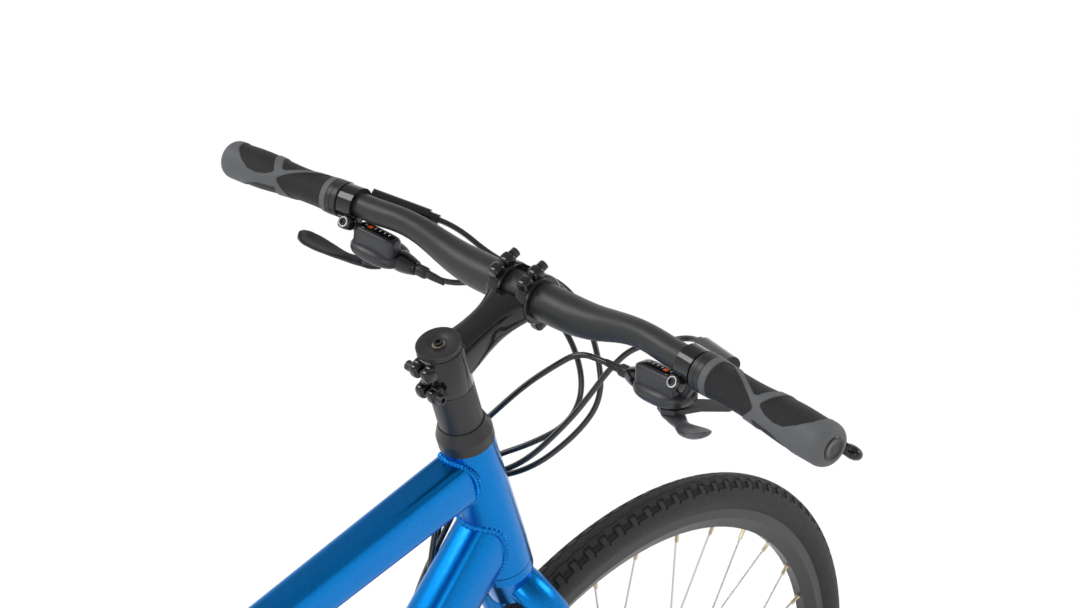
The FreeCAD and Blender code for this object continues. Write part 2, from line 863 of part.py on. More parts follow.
# Rear triangle: a dropout, a chainstay and a seatstay on each side, and a bridge
stay_y = size.rear_spacing / 2 + size.stay_stand_off + size.chainstay_end_half_width
drop_outline = [
    ("dropout_reach * low_front_share", "-dropout_reach * low_fall_share"),
    ("dropout_reach", "dropout_reach * front_rise_share"),
    ("dropout_reach * notch_share", "dropout_reach * notch_rise_share"),
    ("dropout_reach * upper_share", "dropout_reach * upper_rise_share"),
    ("dropout_reach * crest_share", "dropout_reach * crest_rise_share"),
    ("-dropout_reach * back_share", "dropout_reach * back_rise_share"),
]
plain_end = [
    ("-dropout_reach * back_share", "-dropout_reach * back_rise_share"),
    ("0", "-dropout_reach * low_fall_share"),
]
hanger_end = [
    ("-dropout_reach * back_share", "-dropout_reach * back_rise_share"),
    ("-hanger_back - hanger_radius", "-hanger_drop"),
    ("-hanger_back - hanger_radius * hanger_nib_share", "-hanger_drop - hanger_radius"),
    ("-hanger_back + hanger_radius * hanger_nib_share", "-hanger_drop - hanger_radius"),
    ("-hanger_back + hanger_radius", "-hanger_drop"),
]
drop_y = size.rear_spacing / 2 + size.dropout_thickness / 2
eyelet = Vector(size.dropout_reach * size.eyelet_ahead_share, 0,
                size.dropout_reach * size.eyelet_rise_share)
hanger = rear_axle + Vector(-size.hanger_back, 0, -size.hanger_drop)


def across_hole(label, radius, spot, y):
    """A hole straight across the bike, through a plate at y."""
    reach = LEFT * (size.dropout_thickness + size.overrun)
    middle = Vector(spot.x, y, spot.z)
    return rod(label, radius, middle - reach, middle + reach)


dropouts = {}
for label, hand, tail in (("left", 1, plain_end), ("right", -1, hanger_end)):
    spot = rear_axle + LEFT * (hand * drop_y)
    blank = plate(label + "_dropout_blank", drop_outline + tail, "dropout_thickness", spot,
                  AHEAD, -LEFT, "dropout_corner")
    holes = [across_hole(label + "_axle_hole", "axle_radius + running_gap", rear_axle, spot.y),
             across_hole(label + "_eyelet", "eyelet_radius", rear_axle + eyelet, spot.y)]
    if tail is hanger_end:
        holes.append(across_hole("hanger_hole", "hanger_bolt_radius + running_gap", hanger, spot.y))
    dropouts[label] = cut(label + "_dropout", blank, *holes)


def stay(start, stations):
    """A tapered tube back to the axle; stations hold share of the run, y and half sizes."""
    end = rear_axle
    run = unit(end - start)
    wires = []
    for share, y, half_width, half_height in stations:
        spot = start + (end - start) * share + LEFT * y
        wires.append(oval(spot, LEFT, run, half_width, half_height))
    return loft(*wires)


chain_tyre_share = 1 - size.tyre_radius / size.chainstay_length
chain_tyre_y = size.tyre_width / 2 + size.tyre_gap + size.chainstay_half_width
chain_end_share = 1 - size.stay_end / size.chainstay_length
chain_mid_share = (chain_tyre_share + chain_end_share) * size.stay_mid_share
chain_mid_y = chain_tyre_y + (stay_y - chain_tyre_y) * size.stay_bow_share
chain_mid_width = (size.chainstay_half_width + size.chainstay_end_half_width) / 2
chain_mid_height = (size.chainstay_half_height + size.chainstay_end_half_height) / 2
left_chainstay = formed("chainstay_blank", stay(bracket, [
    (0, size.chainstay_start, size.chainstay_half_width, size.chainstay_half_height),
    (chain_tyre_share, chain_tyre_y, size.chainstay_half_width, size.chainstay_half_height),
    (chain_mid_share, chain_mid_y, chain_mid_width, chain_mid_height),
    (chain_end_share, stay_y, size.chainstay_end_half_width, size.chainstay_end_half_height),
]))
stay_top = seat_top - seat_up * size.seatstay_drop
seatstay_length = (rear_axle - stay_top).Length
seat_tyre_share = 1 - size.tyre_radius / seatstay_length
seat_tyre_y = size.tyre_width / 2 + size.tyre_gap + size.seatstay_half_width
seat_end_share = 1 - size.stay_end / seatstay_length
seat_mid_share = (seat_tyre_share + seat_end_share) * size.stay_mid_share
seat_mid_y = seat_tyre_y + (stay_y - seat_tyre_y) * size.stay_bow_share
seat_mid_width = (size.seatstay_half_width + size.seatstay_end_half_width) / 2
seat_mid_height = (size.seatstay_half_height + size.seatstay_end_half_height) / 2
left_seatstay = formed("seatstay_blank", stay(stay_top, [
    (0, size.seatstay_start, size.seatstay_half_width, size.seatstay_half_height),
    (seat_tyre_share, seat_tyre_y, size.seatstay_half_width, size.seatstay_half_height),
    (seat_mid_share, seat_mid_y, seat_mid_width, seat_mid_height),
    (seat_end_share, stay_y, size.seatstay_end_half_width, size.seatstay_end_half_height),
]))
left_chain_piece = cut("left_chainstay", left_chainstay, dropouts["left"], shell_core, seat_core)
left_seat_piece = cut("left_seatstay", left_seatstay, dropouts["left"], seat_core)
right_chain_piece = cut("right_chainstay", mirrored("chainstay_right", left_chainstay),
                        dropouts["right"], shell_core, seat_core)
right_seatstay = mirrored("seatstay_right", left_seatstay)
right_seat_piece = cut("right_seatstay", right_seatstay, dropouts["right"], seat_core)
bridge_spot = rear_axle + unit(stay_top - rear_axle) * (size.tyre_radius + size.bridge_gap)
bridge_half = LEFT * seat_tyre_y
bridge_blank = rod("bridge_blank", "bridge_radius", bridge_spot - bridge_half, bridge_spot + bridge_half)
bridge = cut("bridge", bridge_blank, left_seatstay, right_seatstay)
group("rear_triangle", dropouts["left"], dropouts["right"], left_chain_piece, right_chain_piece,
      left_seat_piece, right_seat_piece, bridge)

# Seat collar with its pinch bolt
collar_base = seat_top - seat_up * (size.collar_height - size.collar_lip)
collar_ring = turned("collar_ring", [
    ("seat_tube_radius + running_gap", "0"),
    ("seat_tube_radius + collar_wall", "0"),
    ("seat_tube_radius + collar_wall", "collar_height"),
    ("seatpost_radius + body_gap", "collar_height"),
    ("seatpost_radius + body_gap", "collar_height - collar_lip + running_gap"),
    ("seat_tube_radius + running_gap", "collar_height - collar_lip + running_gap"),
], collar_base, seat_up)
collar_mid = collar_base + seat_up * (size.collar_height / 2)
ear_spot = collar_mid - seat_ahead * (size.seat_tube_radius + size.collar_wall)
collar_ears = block("collar_ears", "collar_ear", "collar_ear + collar_slot", "collar_height * ear_share",
                    ear_spot, seat_ahead, seat_up)
collar_split = block("collar_split", "collar_ear * 2", "collar_slot", "collar_height * 2",
                     ear_spot, seat_ahead, seat_up)
bolt_spot = ear_spot - seat_ahead * (size.collar_ear * size.ear_bolt_share)
bolt_half = LEFT * ((size.collar_ear + size.collar_slot) / 2 + size.bolt_head_length)
collar_bolt_hole = rod("collar_bolt_hole", "collar_bolt_radius + running_gap", bolt_spot - bolt_half,
                       bolt_spot + bolt_half)
collar_post = rod("collar_post", "seat_tube_radius + running_gap", collar_base - seat_up * size.overrun,
                  seat_top)
collar_through = rod("collar_through", "seatpost_radius + body_gap", collar_base,
                     seat_top + seat_up * size.collar_height)
collar = cut("collar", fused("collar_blank", collar_ring, collar_ears), collar_split, collar_post,
             collar_through, collar_bolt_hole)


def bolt(label, start, end):
    """A socket-head bolt whose head begins at the start and whose shank ends at the end."""
    return turned(label, [
        ("0", "0"),
        ("bolt_radius", "0"),
        ("bolt_radius", str(round((end - start).Length, 3))),
        ("bolt_head_radius", str(round((end - start).Length, 3))),
        ("bolt_head_radius", f"{round((end - start).Length, 3)} + bolt_head_length"),
        ("bolt_socket_radius", f"{round((end - start).Length, 3)} + bolt_head_length"),
        ("bolt_socket_radius", f"{round((end - start).Length, 3)} + bolt_head_length * socket_share"),
        ("0", f"{round((end - start).Length, 3)} + bolt_head_length * socket_share"),
    ], end, start - end)


ear_half = LEFT * ((size.collar_ear + size.collar_slot) / 2)
collar_bolt = bolt("collar_bolt", bolt_spot - ear_half, bolt_spot + ear_half)
group("seat_collar", collar, collar_bolt)


# Wheels
def across(spot, y):
    """The point at a distance across the bike from a spot in its plane."""
    return Vector(spot.x, y, spot.z)


def tyre_shape():
    """The section of a tyre, from bead to bead, turned about the axle."""
    rows = []
    bead = size.rim_width / 2 - size.rim_wall - size.running_gap
    for wall in (0, size.tyre_wall):
        crown = size.tyre_radius - wall
        foot = Vector(0, bead - wall, size.bead_radius + size.running_gap)
        lip = Vector(0, bead - wall, size.rim_edge_radius)
        widest = Vector(0, size.tyre_width / 2 - wall, (size.rim_edge_radius + size.tyre_radius) / 2)
        shoulder = Vector(0, size.tread_half_width - wall / 2, crown - size.tread_shoulder_drop)
        rows.append((foot, lip, widest, shoulder, Vector(0, 0, crown)))

    def other(spot):
        return Vector(0, -spot.y, spot.z)

    edges = []
    for foot, lip, widest, shoulder, crown in rows:
        edges.append(Part.makeLine(foot, lip))
        edges.append(Part.Arc(lip, widest, shoulder).toShape())
        edges.append(Part.Arc(shoulder, crown, other(shoulder)).toShape())
        edges.append(Part.Arc(other(shoulder), other(widest), other(lip)).toShape())
        edges.append(Part.makeLine(other(lip), other(foot)))
    edges.append(Part.makeLine(rows[0][0], rows[1][0]))
    edges.append(Part.makeLine(other(rows[0][0]), other(rows[1][0])))
    section = Part.Face(Part.Wire(Part.__sortEdges__(edges)))
    return section.revolve(Vector(0, 0, 0), LEFT, 360)


rim_outline = [
    ("rim_edge_radius", "rim_width / 2"),
    ("rim_edge_radius", "rim_width / 2 - rim_wall"),
    ("bead_radius", "rim_width / 2 - rim_wall"),
    ("bead_radius", "rim_width / 4"),
    ("bead_radius - rim_bed_drop", "rim_width / 6"),
    ("bead_radius - rim_bed_drop", "-rim_width / 6"),
    ("bead_radius", "-rim_width / 4"),
    ("bead_radius", "rim_wall - rim_width / 2"),
    ("rim_edge_radius", "rim_wall - rim_width / 2"),
    ("rim_edge_radius", "-rim_width / 2"),
    ("rim_edge_radius - rim_depth * rim_side_share", "-rim_width / 2"),
    ("rim_edge_radius - rim_depth", "-rim_nose_width / 2"),
    ("rim_edge_radius - rim_depth", "rim_nose_width / 2"),
    ("rim_edge_radius - rim_depth * rim_side_share", "rim_width / 2"),
]
nose_radius = size.rim_edge_radius - size.rim_depth


def around(axle, radius, angle, y):
    """The point on a circle about the axle; the angle rises from straight ahead."""
    return across(axle + aslant(angle) * radius, y)


def wheel(name, axle, flanges):
    """Tyre, tube with its valve, rim and spokes of one wheel; flanges hold their places across."""
    casing = formed(name + "_casing", tyre_shape())
    casing.Placement = Placement(axle, Rotation())
    keep(name + "_tyre", casing)
    ring = doc.addObject("Part::Torus", name + "_ring")
    ring.setExpression("Radius1", bound("tyre_radius - tyre_wall - body_gap - tube_radius"))
    ring.setExpression("Radius2", bound("tube_radius"))
    ring.Placement = Placement(axle, Rotation(UP, LEFT))
    valve_angle = 360 / size.spoke_count / 4
    tube_centre = size.tyre_radius - size.tyre_wall - size.body_gap - size.tube_radius
    valve_top = around(axle, tube_centre, valve_angle, 0)
    valve_tip = around(axle, size.rim_edge_radius - size.valve_length, valve_angle, 0)
    valve = rod(name + "_valve", "valve_radius", valve_tip, valve_top)
    keep(name + "_inner_tube", fused(name + "_inner_tube", ring, valve))
    hoop = turned(name + "_hoop", rim_outline, axle, LEFT)
    hole = rod(name + "_valve_hole", "valve_radius + running_gap", valve_tip, valve_top)
    keep(name + "_rim", cut(name + "_rim", hoop, hole))
    pieces = []
    step = 720 / size.spoke_count
    swing = size.spoke_crosses * step
    lift = size.flange_width / 2 + size.spoke_radius + size.running_gap
    root = size.flange_radius - size.spoke_hole_inset
    for side, flange_y in enumerate(flanges):
        for index in range(int(size.spoke_count / 4)):
            for lead in (1, -1):
                turn = index * 2 * step + side * step / 2 + (0 if lead == 1 else step)
                start = around(axle, root, turn, flange_y + lead * lift)
                end = around(axle, nose_radius - size.body_gap, turn + lead * swing, 0)
                spoke = rod(f"{name}_spoke", "spoke_radius", start, end)
                outside = lead * flange_y > 0
                pieces.append(cut(f"{name}_seated_spoke", spoke,
                                  nodes[name + "_hub"]) if outside else spoke)
    group(name + "_spokes", *pieces)


def flange(place):
    """The rim of one hub flange, from its right to its left face."""
    return [("flange_radius", f"{place} - flange_width / 2"),
            ("flange_radius", f"{place} + flange_width / 2")]


def hub(name, axle, spacing, right_end, shell, right, left):
    """A hub shell turned about the axle, with a step that the rotor sits on."""
    seat = f"{spacing} / 2 - rotor_inset - rotor_thickness / 2"
    outline = [("axle_radius + running_gap", right_end), ("hub_end_radius", right_end)]
    outline += [(shell, f"{right} - flange_width / 2")] + flange(right) + [(shell,
                                                                            f"{right} + flange_width / 2")]
    outline += [(shell, f"{left} - flange_width / 2")] + flange(left)
    outline += [("rotor_boss_radius", f"{left} + flange_width / 2"), ("rotor_boss_radius", seat)]
    outline += [("rotor_bore - running_gap", seat),
                ("rotor_bore - running_gap", f"{seat} + rotor_thickness")]
    outline += [("hub_end_radius", f"{seat} + rotor_thickness"),
                ("hub_end_radius", f"{spacing} / 2 - hub_inset")]
    outline += [("axle_radius + running_gap", f"{spacing} / 2 - hub_inset")]
    return keep(name + "_hub", turned(name + "_hub", outline, axle, LEFT))


hub("front", front_axle, "front_spacing", "hub_inset - front_spacing / 2", "hub_shell_radius",
    "front_flange_right", "front_flange_left")
hub("rear", rear_axle, "rear_spacing", "rear_flange_right - flange_width / 2 - hub_step",
    "rear_hub_shell_radius", "rear_flange_right", "rear_flange_left")
wheel("front", front_axle, (size.front_flange_left, size.front_flange_right))
wheel("rear", rear_axle, (size.rear_flange_left, size.rear_flange_right))


def axle_set(name, axle, spacing, dropout):
    """A hollow axle with its locknuts, and the skewer that draws the dropouts onto it."""
    outline = [("skewer_radius + running_gap", f"axle_stub_inset - {spacing} / 2 - {dropout}"),
               ("axle_radius", f"axle_stub_inset - {spacing} / 2 - {dropout}"),
               ("axle_radius", f"-{spacing} / 2"),
               ("axle_collar_radius", f"-{spacing} / 2"),
               ("axle_collar_radius", f"hub_inset - {spacing} / 2 - body_gap"),
               ("axle_radius", f"hub_inset - {spacing} / 2 - body_gap")]
    outline += [(radius, f"-({place})") for radius, place in reversed(outline)]
    hollow = turned(name + "_hollow", outline, axle, LEFT)
    face = f"{spacing} / 2 + {dropout}"
    skewer_outline = [("0", f"-({face}) - axle_head_length"),
                      ("axle_head_radius * head_top_share", f"-({face}) - axle_head_length"),
                      ("axle_head_radius", f"-({face})"),
                      ("skewer_radius", f"-({face})"),
                      ("skewer_radius", face),
                      ("axle_head_radius", face),
                      ("axle_head_radius * head_top_share", f"{face} + axle_head_length"),
                      ("0", f"{face} + axle_head_length")]
    skewer = turned(name + "_skewer", skewer_outline, axle, LEFT)
    return group(name + "_axle", hollow, skewer)


axle_set("front", front_axle, "front_spacing", "fork_dropout")
axle_set("rear", rear_axle, "rear_spacing", "dropout_thickness")


# Brake rotors and calipers
def windows(label, centre, inner, outer, thickness, count, arm, lean):
    """What lies between the arms of a disc, from the inner to the outer radius."""
    half = LEFT * worth(thickness)
    hoop = rod(label + "_hoop", outer, centre - half, centre + half, inner)
    arms = []
    for index in range(int(count)):
        toward = aslant(360 * index / count)
        bar = block(label + "_arm", f"({outer}) * 2", f"{thickness} * 4", arm,
                    centre + toward * worth(outer), toward, toward.cross(LEFT))
        bar.Placement = Placement(Vector(), Rotation(LEFT, -lean),
                                  centre + toward * worth(inner)) * bar.Placement
        arms.append(bar)
    return cut(label, hoop, *arms)


def rotor(name, axle, spacing):
    """A brake rotor: a drilled track on leaning arms."""
    centre = across(axle, spacing / 2 - size.rotor_inset)
    half = LEFT * (size.rotor_thickness / 2)
    disc = rod(name + "_disc", "rotor_radius", centre - half, centre + half)
    bore = rod(name + "_rotor_bore", "rotor_bore", centre - half * 2, centre + half * 2)
    gaps = windows(name + "_gaps", centre, "rotor_boss_radius + rotor_land", "rotor_radius - rotor_track",
                   "rotor_thickness", size.rotor_arm_count, "rotor_arm_width", size.rotor_arm_lean_angle)
    drills = []
    for index in range(int(size.rotor_hole_count)):
        shift = size.rotor_track * (size.hole_low_share if index % 2 else size.hole_high_share)
        spot = around(axle, size.rotor_radius - shift, 360 * index / size.rotor_hole_count, centre.y)
        drills.append(rod(name + "_drill", "rotor_hole_radius", spot - half * 2, spot + half * 2))
    holes = doc.addObject("Part::Compound", name + "_drills")
    holes.Links = drills
    return keep(name + "_rotor", cut(name + "_rotor", disc, bore, gaps, holes))


rotor("front", front_axle, size.front_spacing)
rotor("rear", rear_axle, size.rear_spacing)


def caliper(name, axle, spacing, angle, leg):
    """A caliper over the edge of a rotor: a slotted body on the frame or fork, and two pads."""
    middle = across(axle, spacing / 2 - size.rotor_inset)
    out = aslant(angle)
    along = out.cross(LEFT)
    reach = size.rotor_radius + size.caliper_bridge - size.caliper_height / 2
    centre = middle + out * reach
    body = plate(name + "_body", [
        ("caliper_length / 2", "-caliper_height / 2"),
        ("caliper_length / 2", "caliper_height * caliper_step_share"),
        ("caliper_length * caliper_top_share", "caliper_height / 2"),
        ("-caliper_length * caliper_top_share", "caliper_height / 2"),
        ("-caliper_length / 2", "caliper_height * caliper_step_share"),
        ("-caliper_length / 2", "-caliper_height / 2"),
    ], "caliper_outer + caliper_inner", centre + LEFT * ((size.caliper_outer - size.caliper_inner) / 2),
        along, LEFT, "caliper_corner")
    slot = "rotor_thickness + 2 * pad_gap + 2 * pad_thickness"
    gap = block(name + "_slot", "caliper_length * 2", slot, "caliper_height",
                centre - out * (size.caliper_bridge - size.body_gap), along, out)
    pads = []
    offset = size.rotor_thickness / 2 + size.pad_gap + size.pad_thickness / 2
    spot = middle + out * (size.rotor_radius - size.pad_height / 2)
    for hand in (1, -1):
        pads.append(block(name + "_pad", "pad_width", "pad_thickness", "pad_height",
                          spot + LEFT * (hand * offset), along, out))
    body = cut(name + "_caliper_body", body, gap, *leg)
    return group(name + "_caliper", body, *pads)


def outlined(shares, length, height):
    """Corners given as shares of a length and a height."""
    return [(f"{length} * {along}", f"{height} * {up}") for along, up in shares]


# Fork: a crown forged onto the steerer, and two blades with their dropouts
stack_top = "head_tube_length + stack_gap + cover_height + spacer_height + stem_height"
crown = turned("crown", [
    ("steerer_bore", "-crown_gap - crown_height"),
    ("crown_low_radius", "-crown_gap - crown_height"),
    ("head_lower_radius", "-crown_gap - crown_lip"),
    ("head_lower_radius", "-crown_gap"),
    ("steerer_radius", "-crown_gap"),
    ("steerer_radius", f"{stack_top} - steerer_inset"),
    ("steerer_bore", f"{stack_top} - steerer_inset"),
], head_bottom, steer_up)
crown_core = turned("crown_core", [
    ("0", "-crown_gap - crown_height"),
    ("crown_low_radius", "-crown_gap - crown_height"),
    ("head_lower_radius", "-crown_gap - crown_lip"),
    ("head_lower_radius", "-crown_gap"),
    ("0", "-crown_gap"),
], head_bottom, steer_up)


def fork_point(depth, y):
    """A point on the line from the foot of the head tube to the axle, and out to the side."""
    ahead = steer_ahead * (size.fork_offset * depth / size.fork_length)
    return head_bottom - steer_up * depth + ahead + LEFT * y


blade_y = size.tyre_width / 2 + size.blade_tyre_gap + size.blade_half_width
tip_y = (size.front_spacing + size.fork_dropout) / 2
blade_end = size.fork_length - size.blade_end
root_depth = size.crown_gap + size.crown_height * size.blade_root_share
elbow = fork_point(size.blade_shoulder * size.blade_elbow_share, blade_y * size.blade_elbow_out_share)
blade_top = formed("blade_top", loft(
    oval(fork_point(root_depth, 0), steer_ahead, LEFT, size.blade_half_depth, size.blade_half_width),
    oval(elbow, steer_ahead, unit(LEFT - steer_up), size.blade_half_depth, size.blade_half_width),
    oval(fork_point(size.blade_shoulder, blade_y), steer_ahead, -steer_up,
         size.blade_half_depth, size.blade_half_width)))
blade_leg = formed("blade_leg", loft(
    oval(fork_point(size.blade_shoulder, blade_y), steer_ahead, -steer_up,
         size.blade_half_depth, size.blade_half_width),
    oval(fork_point(blade_end, tip_y), steer_ahead, -steer_up,
         size.blade_end_half_depth, size.blade_end_half_width)))
TIP_SHARES = [(-0.75, -0.8), (0.75, -0.8), (1.0, -0.3), (0.85, 1.0), (0.6, 2.6), (-0.9, 2.6),
              (-1.0, -0.3)]
tip_plate = plate("fork_tip", outlined(TIP_SHARES, "fork_dropout_half", "fork_dropout_half"),
                  "fork_dropout",
                  across(front_axle, tip_y), steer_ahead, -LEFT, "fork_corner")
eyelet_spot = front_axle + steer_up * (size.fork_dropout_reach * size.fork_eyelet_share)
left_blade = cut("left_blade", fused("blade_and_tip", blade_top, blade_leg, tip_plate), crown_core,
                 across_hole("fork_axle_hole", "axle_radius + running_gap", front_axle, tip_y),
                 across_hole("fork_eyelet", "eyelet_radius", eyelet_spot, tip_y))
right_blade = mirrored("right_blade", left_blade)
group("fork", crown, left_blade, right_blade)
caliper("front", front_axle, size.front_spacing, size.front_caliper_angle, [left_blade])
caliper("rear", rear_axle, size.rear_spacing, size.rear_caliper_angle,
        [left_chain_piece, left_seat_piece])

# Headset cover, spacer and top cap
cover = turned("cover", [
    ("steerer_radius + running_gap", "stack_gap"),
    ("cover_radius", "stack_gap"),
    ("cover_radius", "stack_gap + cover_band"),
    ("cover_neck_radius", "stack_gap + cover_height"),
    ("steerer_radius + running_gap", "stack_gap + cover_height"),
], head_top, steer_up)
spacer_base = head_top + steer_up * (size.stack_gap + size.cover_height)
spacer = turned("spacer", [
    ("steerer_radius + running_gap", "0"),
    ("spacer_radius", "0"),
    ("spacer_radius", "spacer_height"),
    ("steerer_radius + running_gap", "spacer_height"),
], spacer_base, steer_up)
stem_base = spacer_base + steer_up * size.spacer_height
stem_top = stem_base + steer_up * size.stem_height
top_cap = turned("top_cap", [
    ("bolt_radius + running_gap", "-steerer_inset + running_gap"),
    ("steerer_radius - running_gap", "-steerer_inset + running_gap"),
    ("steerer_radius - running_gap", "0"),
    ("top_cap_radius", "0"),
    ("top_cap_radius", "top_cap_height * cap_edge_share"),
    ("top_cap_radius * cap_face_share", "top_cap_height"),
    ("bolt_head_radius + body_gap", "top_cap_height"),
    ("bolt_head_radius + body_gap", "top_cap_height * cap_edge_share"),
    ("bolt_radius + running_gap", "top_cap_height * cap_edge_share"),
], stem_top, steer_up)
group("headset_stack", cover, spacer, top_cap)

# Stem and its faceplate
rise = math.radians(size.stem_rise_angle)
stem_ahead = steer_ahead * math.cos(rise) + steer_up * math.sin(rise)
stem_normal = steer_up * math.cos(rise) - steer_ahead * math.sin(rise)
stem_mid = stem_base + steer_up * (size.stem_height / 2)
bar_centre = stem_mid + stem_ahead * size.stem_length
clamp_half = LEFT * (size.bar_clamp_width / 2)
stem_form = loft(*[
    soft_box(stem_mid + stem_ahead * (size.stem_length * share), LEFT, stem_ahead, width / 2, height / 2,
             size.stem_corner_share * height / 2)
    for share, width, height in (
        (0, size.stem_root_width, size.stem_root_height),
        (size.stem_waist_share, size.stem_waist_width, size.stem_waist_height),
        (1, size.bar_clamp_width, size.stem_waist_height))])
neck = formed("stem_neck", stem_form)
collet = rod("stem_collet", "stem_clamp_radius", stem_base, stem_top)
pinch_spot = stem_mid - steer_ahead * (size.stem_clamp_radius + size.pinch_ear_depth * size.pinch_sink_share)
pinch_ears = block("pinch_ears", "pinch_ear_depth", "pinch_ear_width", "stem_height", pinch_spot,
                   steer_ahead, steer_up)
pinch_split = block("pinch_split", "pinch_ear_depth * 3", "pinch_slot", "stem_height * 2", pinch_spot,
                    steer_ahead, steer_up)
steerer_hole = rod("steerer_hole", "steerer_radius + running_gap", stem_base - steer_up * size.overrun,
                   stem_top + steer_up * size.overrun)
cap_room = rod("cap_room", "stem_clamp_radius * 2", stem_top, stem_top + steer_up * size.stem_height)
foot_room = rod("foot_room", "stem_clamp_radius * 2", stem_base - steer_up * size.stem_height, stem_base)
bar_hole = rod("bar_hole", "bar_centre_radius + running_gap", bar_centre - clamp_half * 2,
               bar_centre + clamp_half * 2)


def clamp_blank(label):
    """The barrel round the bar with the ears that its bolts draw together."""
    barrel = rod(label + "_barrel", "bar_clamp_radius", bar_centre - clamp_half, bar_centre + clamp_half)
    ears = plate(label + "_ears", [
        ("-clamp_ear_depth / 2", "-faceplate_ear"),
        ("clamp_ear_depth / 2", "-faceplate_ear"),
        ("clamp_ear_depth / 2", "faceplate_ear"),
        ("-clamp_ear_depth / 2", "faceplate_ear"),
    ], "bar_clamp_width", bar_centre, stem_ahead, LEFT, "clamp_ear_corner")
    return fused(label, barrel, ears)


def ear_gap(label, hand):
    """The gap between the two ears above or below the bar."""
    rise_to = (size.bar_centre_radius * size.clamp_land_share + size.faceplate_ear) * hand
    return block(label, "clamp_ear_depth * 2", "bar_clamp_window", "faceplate_ear * 2",
                 bar_centre + stem_normal * rise_to, stem_ahead, stem_normal)


bolt_lines = []
for hand in (1, -1):
    for level in (1, -1):
        aside = LEFT * (size.clamp_bolt_spread * hand)
        spot = bar_centre + aside + stem_normal * (size.clamp_bolt_rise * level)
        reach = stem_ahead * (size.clamp_ear_depth / 2)
        bolt_lines.append((spot + reach, spot - reach))
pinch_lines = []
for level, hand in ((1, 1), (-1, -1)):
    spot = stem_mid - steer_ahead * size.pinch_bolt_back + steer_up * (size.pinch_bolt_spread * level)
    reach = LEFT * (size.pinch_ear_width / 2 * hand)
    pinch_lines.append((spot + reach, spot - reach))


def bolt_holes(label, lines):
    """Clearance holes along the lines of bolts."""
    drilled = doc.addObject("Part::Compound", label)
    drilled.Links = [rod(label + "_drill", "bolt_radius + running_gap", start, end) for start,
                     end in lines]
    return drilled


face_room = "stem_length"
front_room = block("front_room", face_room, "bar_clamp_width * 2", "faceplate_ear * 4",
                   bar_centre + stem_ahead * ((size.stem_length - size.faceplate_gap) / 2), stem_ahead,
                   stem_normal)
back_room = block("back_room", face_room, "bar_clamp_width * 2", "faceplate_ear * 4",
                  bar_centre - stem_ahead * ((size.stem_length - size.faceplate_gap) / 2), stem_ahead,
                  stem_normal)
stem_blank = fused("stem_blank", neck, collet, pinch_ears, clamp_blank("stem_clamp"))
keep("stem", cut("stem", stem_blank, steerer_hole, bar_hole, front_room, pinch_split, cap_room, foot_room,
                 ear_gap("stem_gap_above", 1), ear_gap("stem_gap_below", -1),
                 bolt_holes("stem_drills", bolt_lines), bolt_holes("pinch_drills", pinch_lines)))
keep("stem_faceplate", cut("stem_faceplate", clamp_blank("face_clamp"), bar_hole, back_room,
                           ear_gap("face_gap_above", 1), ear_gap("face_gap_below", -1),
                           bolt_holes("face_drills", bolt_lines)))
cockpit_bolts = [bolt("clamp_bolt", start, end) for start, end in bolt_lines]
cockpit_bolts += [bolt("pinch_bolt", start, end) for start, end in pinch_lines]
cap_seat = stem_top + steer_up * (size.top_cap_height * size.cap_edge_share)
cockpit_bolts.append(bolt("cap_bolt", cap_seat, cap_seat - steer_up * size.cap_bolt_length))


# Handlebar, grips and their lock rings
def bar_point(u):
    """The middle of the bar at a distance u to the left of its centre."""
    bend = size.bar_bend_end - size.bar_bend_start
    share = min(max((u - size.bar_bend_start) / bend, 0), 1)
    slope = size.bar_sweep / (size.bar_half_width - size.bar_bend_end + bend / 2)
    back = slope * bend * share ** 2 / 2 + slope * max(u - size.bar_bend_end, 0)
    return bar_centre + Vector(-back, u, size.bar_rise * share ** 2 * (3 - 2 * share))


def bar_form(wall):
    """A loft through circles along the bar, drawn in from the clamp to the grips."""
    taper = size.bar_taper_end - size.bar_clamp_half
    wires = []
    for step in range(-BAR_STEPS, BAR_STEPS + 1):
        place = size.bar_half_width * step / BAR_STEPS
        here = abs(place)
        spot = bar_point(here)
        ahead = bar_point(here + size.running_gap) - bar_point(here - size.running_gap)
        if place < 0:
            spot = Vector(spot.x, -spot.y, spot.z)
            ahead = Vector(-ahead.x, ahead.y, -ahead.z)
        drawn_in = min(max((here - size.bar_clamp_half) / taper, 0), 1)
        drawn_in = drawn_in ** 2 * (3 - 2 * drawn_in)
        radius = size.bar_centre_radius - drawn_in * (size.bar_centre_radius - size.bar_end_radius) - wall
        wires.append(oval(spot, UP.cross(ahead).normalize(), unit(ahead), radius, radius))
    return loft(*wires)


bar_skin = formed("bar_skin", bar_form(0))
keep("handlebar", cut("handlebar", bar_skin, formed("bar_inside", bar_form(size.bar_wall))))
bar_tip = bar_point(size.bar_half_width)
bar_out = unit(bar_tip - bar_point(size.bar_bend_end))
bar_ahead = bar_out.cross(UP).normalize()
grip_start = bar_tip - bar_out * size.grip_length
bar_room = rod("bar_room", "bar_end_radius + body_gap", bar_tip - bar_out * (size.grip_length * 2),
               bar_tip)
grip_form = loft(*[oval(grip_start + bar_out * (size.grip_length * share), bar_ahead, bar_out, radius,
                        radius)
                   for share, radius in ((0, size.grip_inner_radius),
                                         (size.grip_waist_share, size.grip_waist_radius),
                                         (size.grip_palm_share, size.grip_palm_radius),
                                         (1, size.grip_end_radius))])
cap_start = bar_tip - bar_out * size.overrun
grip_cap = rod("grip_cap", "grip_end_radius", cap_start, bar_tip + bar_out * size.grip_end_cap)
left_grip = cut("left_grip", fused("grip_blank", formed("grip_form", grip_form), grip_cap), bar_room)
lock_start = grip_start - bar_out * size.lock_ring_width
left_lock = rod("left_lock", "lock_ring_radius", lock_start, grip_start, "bar_end_radius + body_gap")
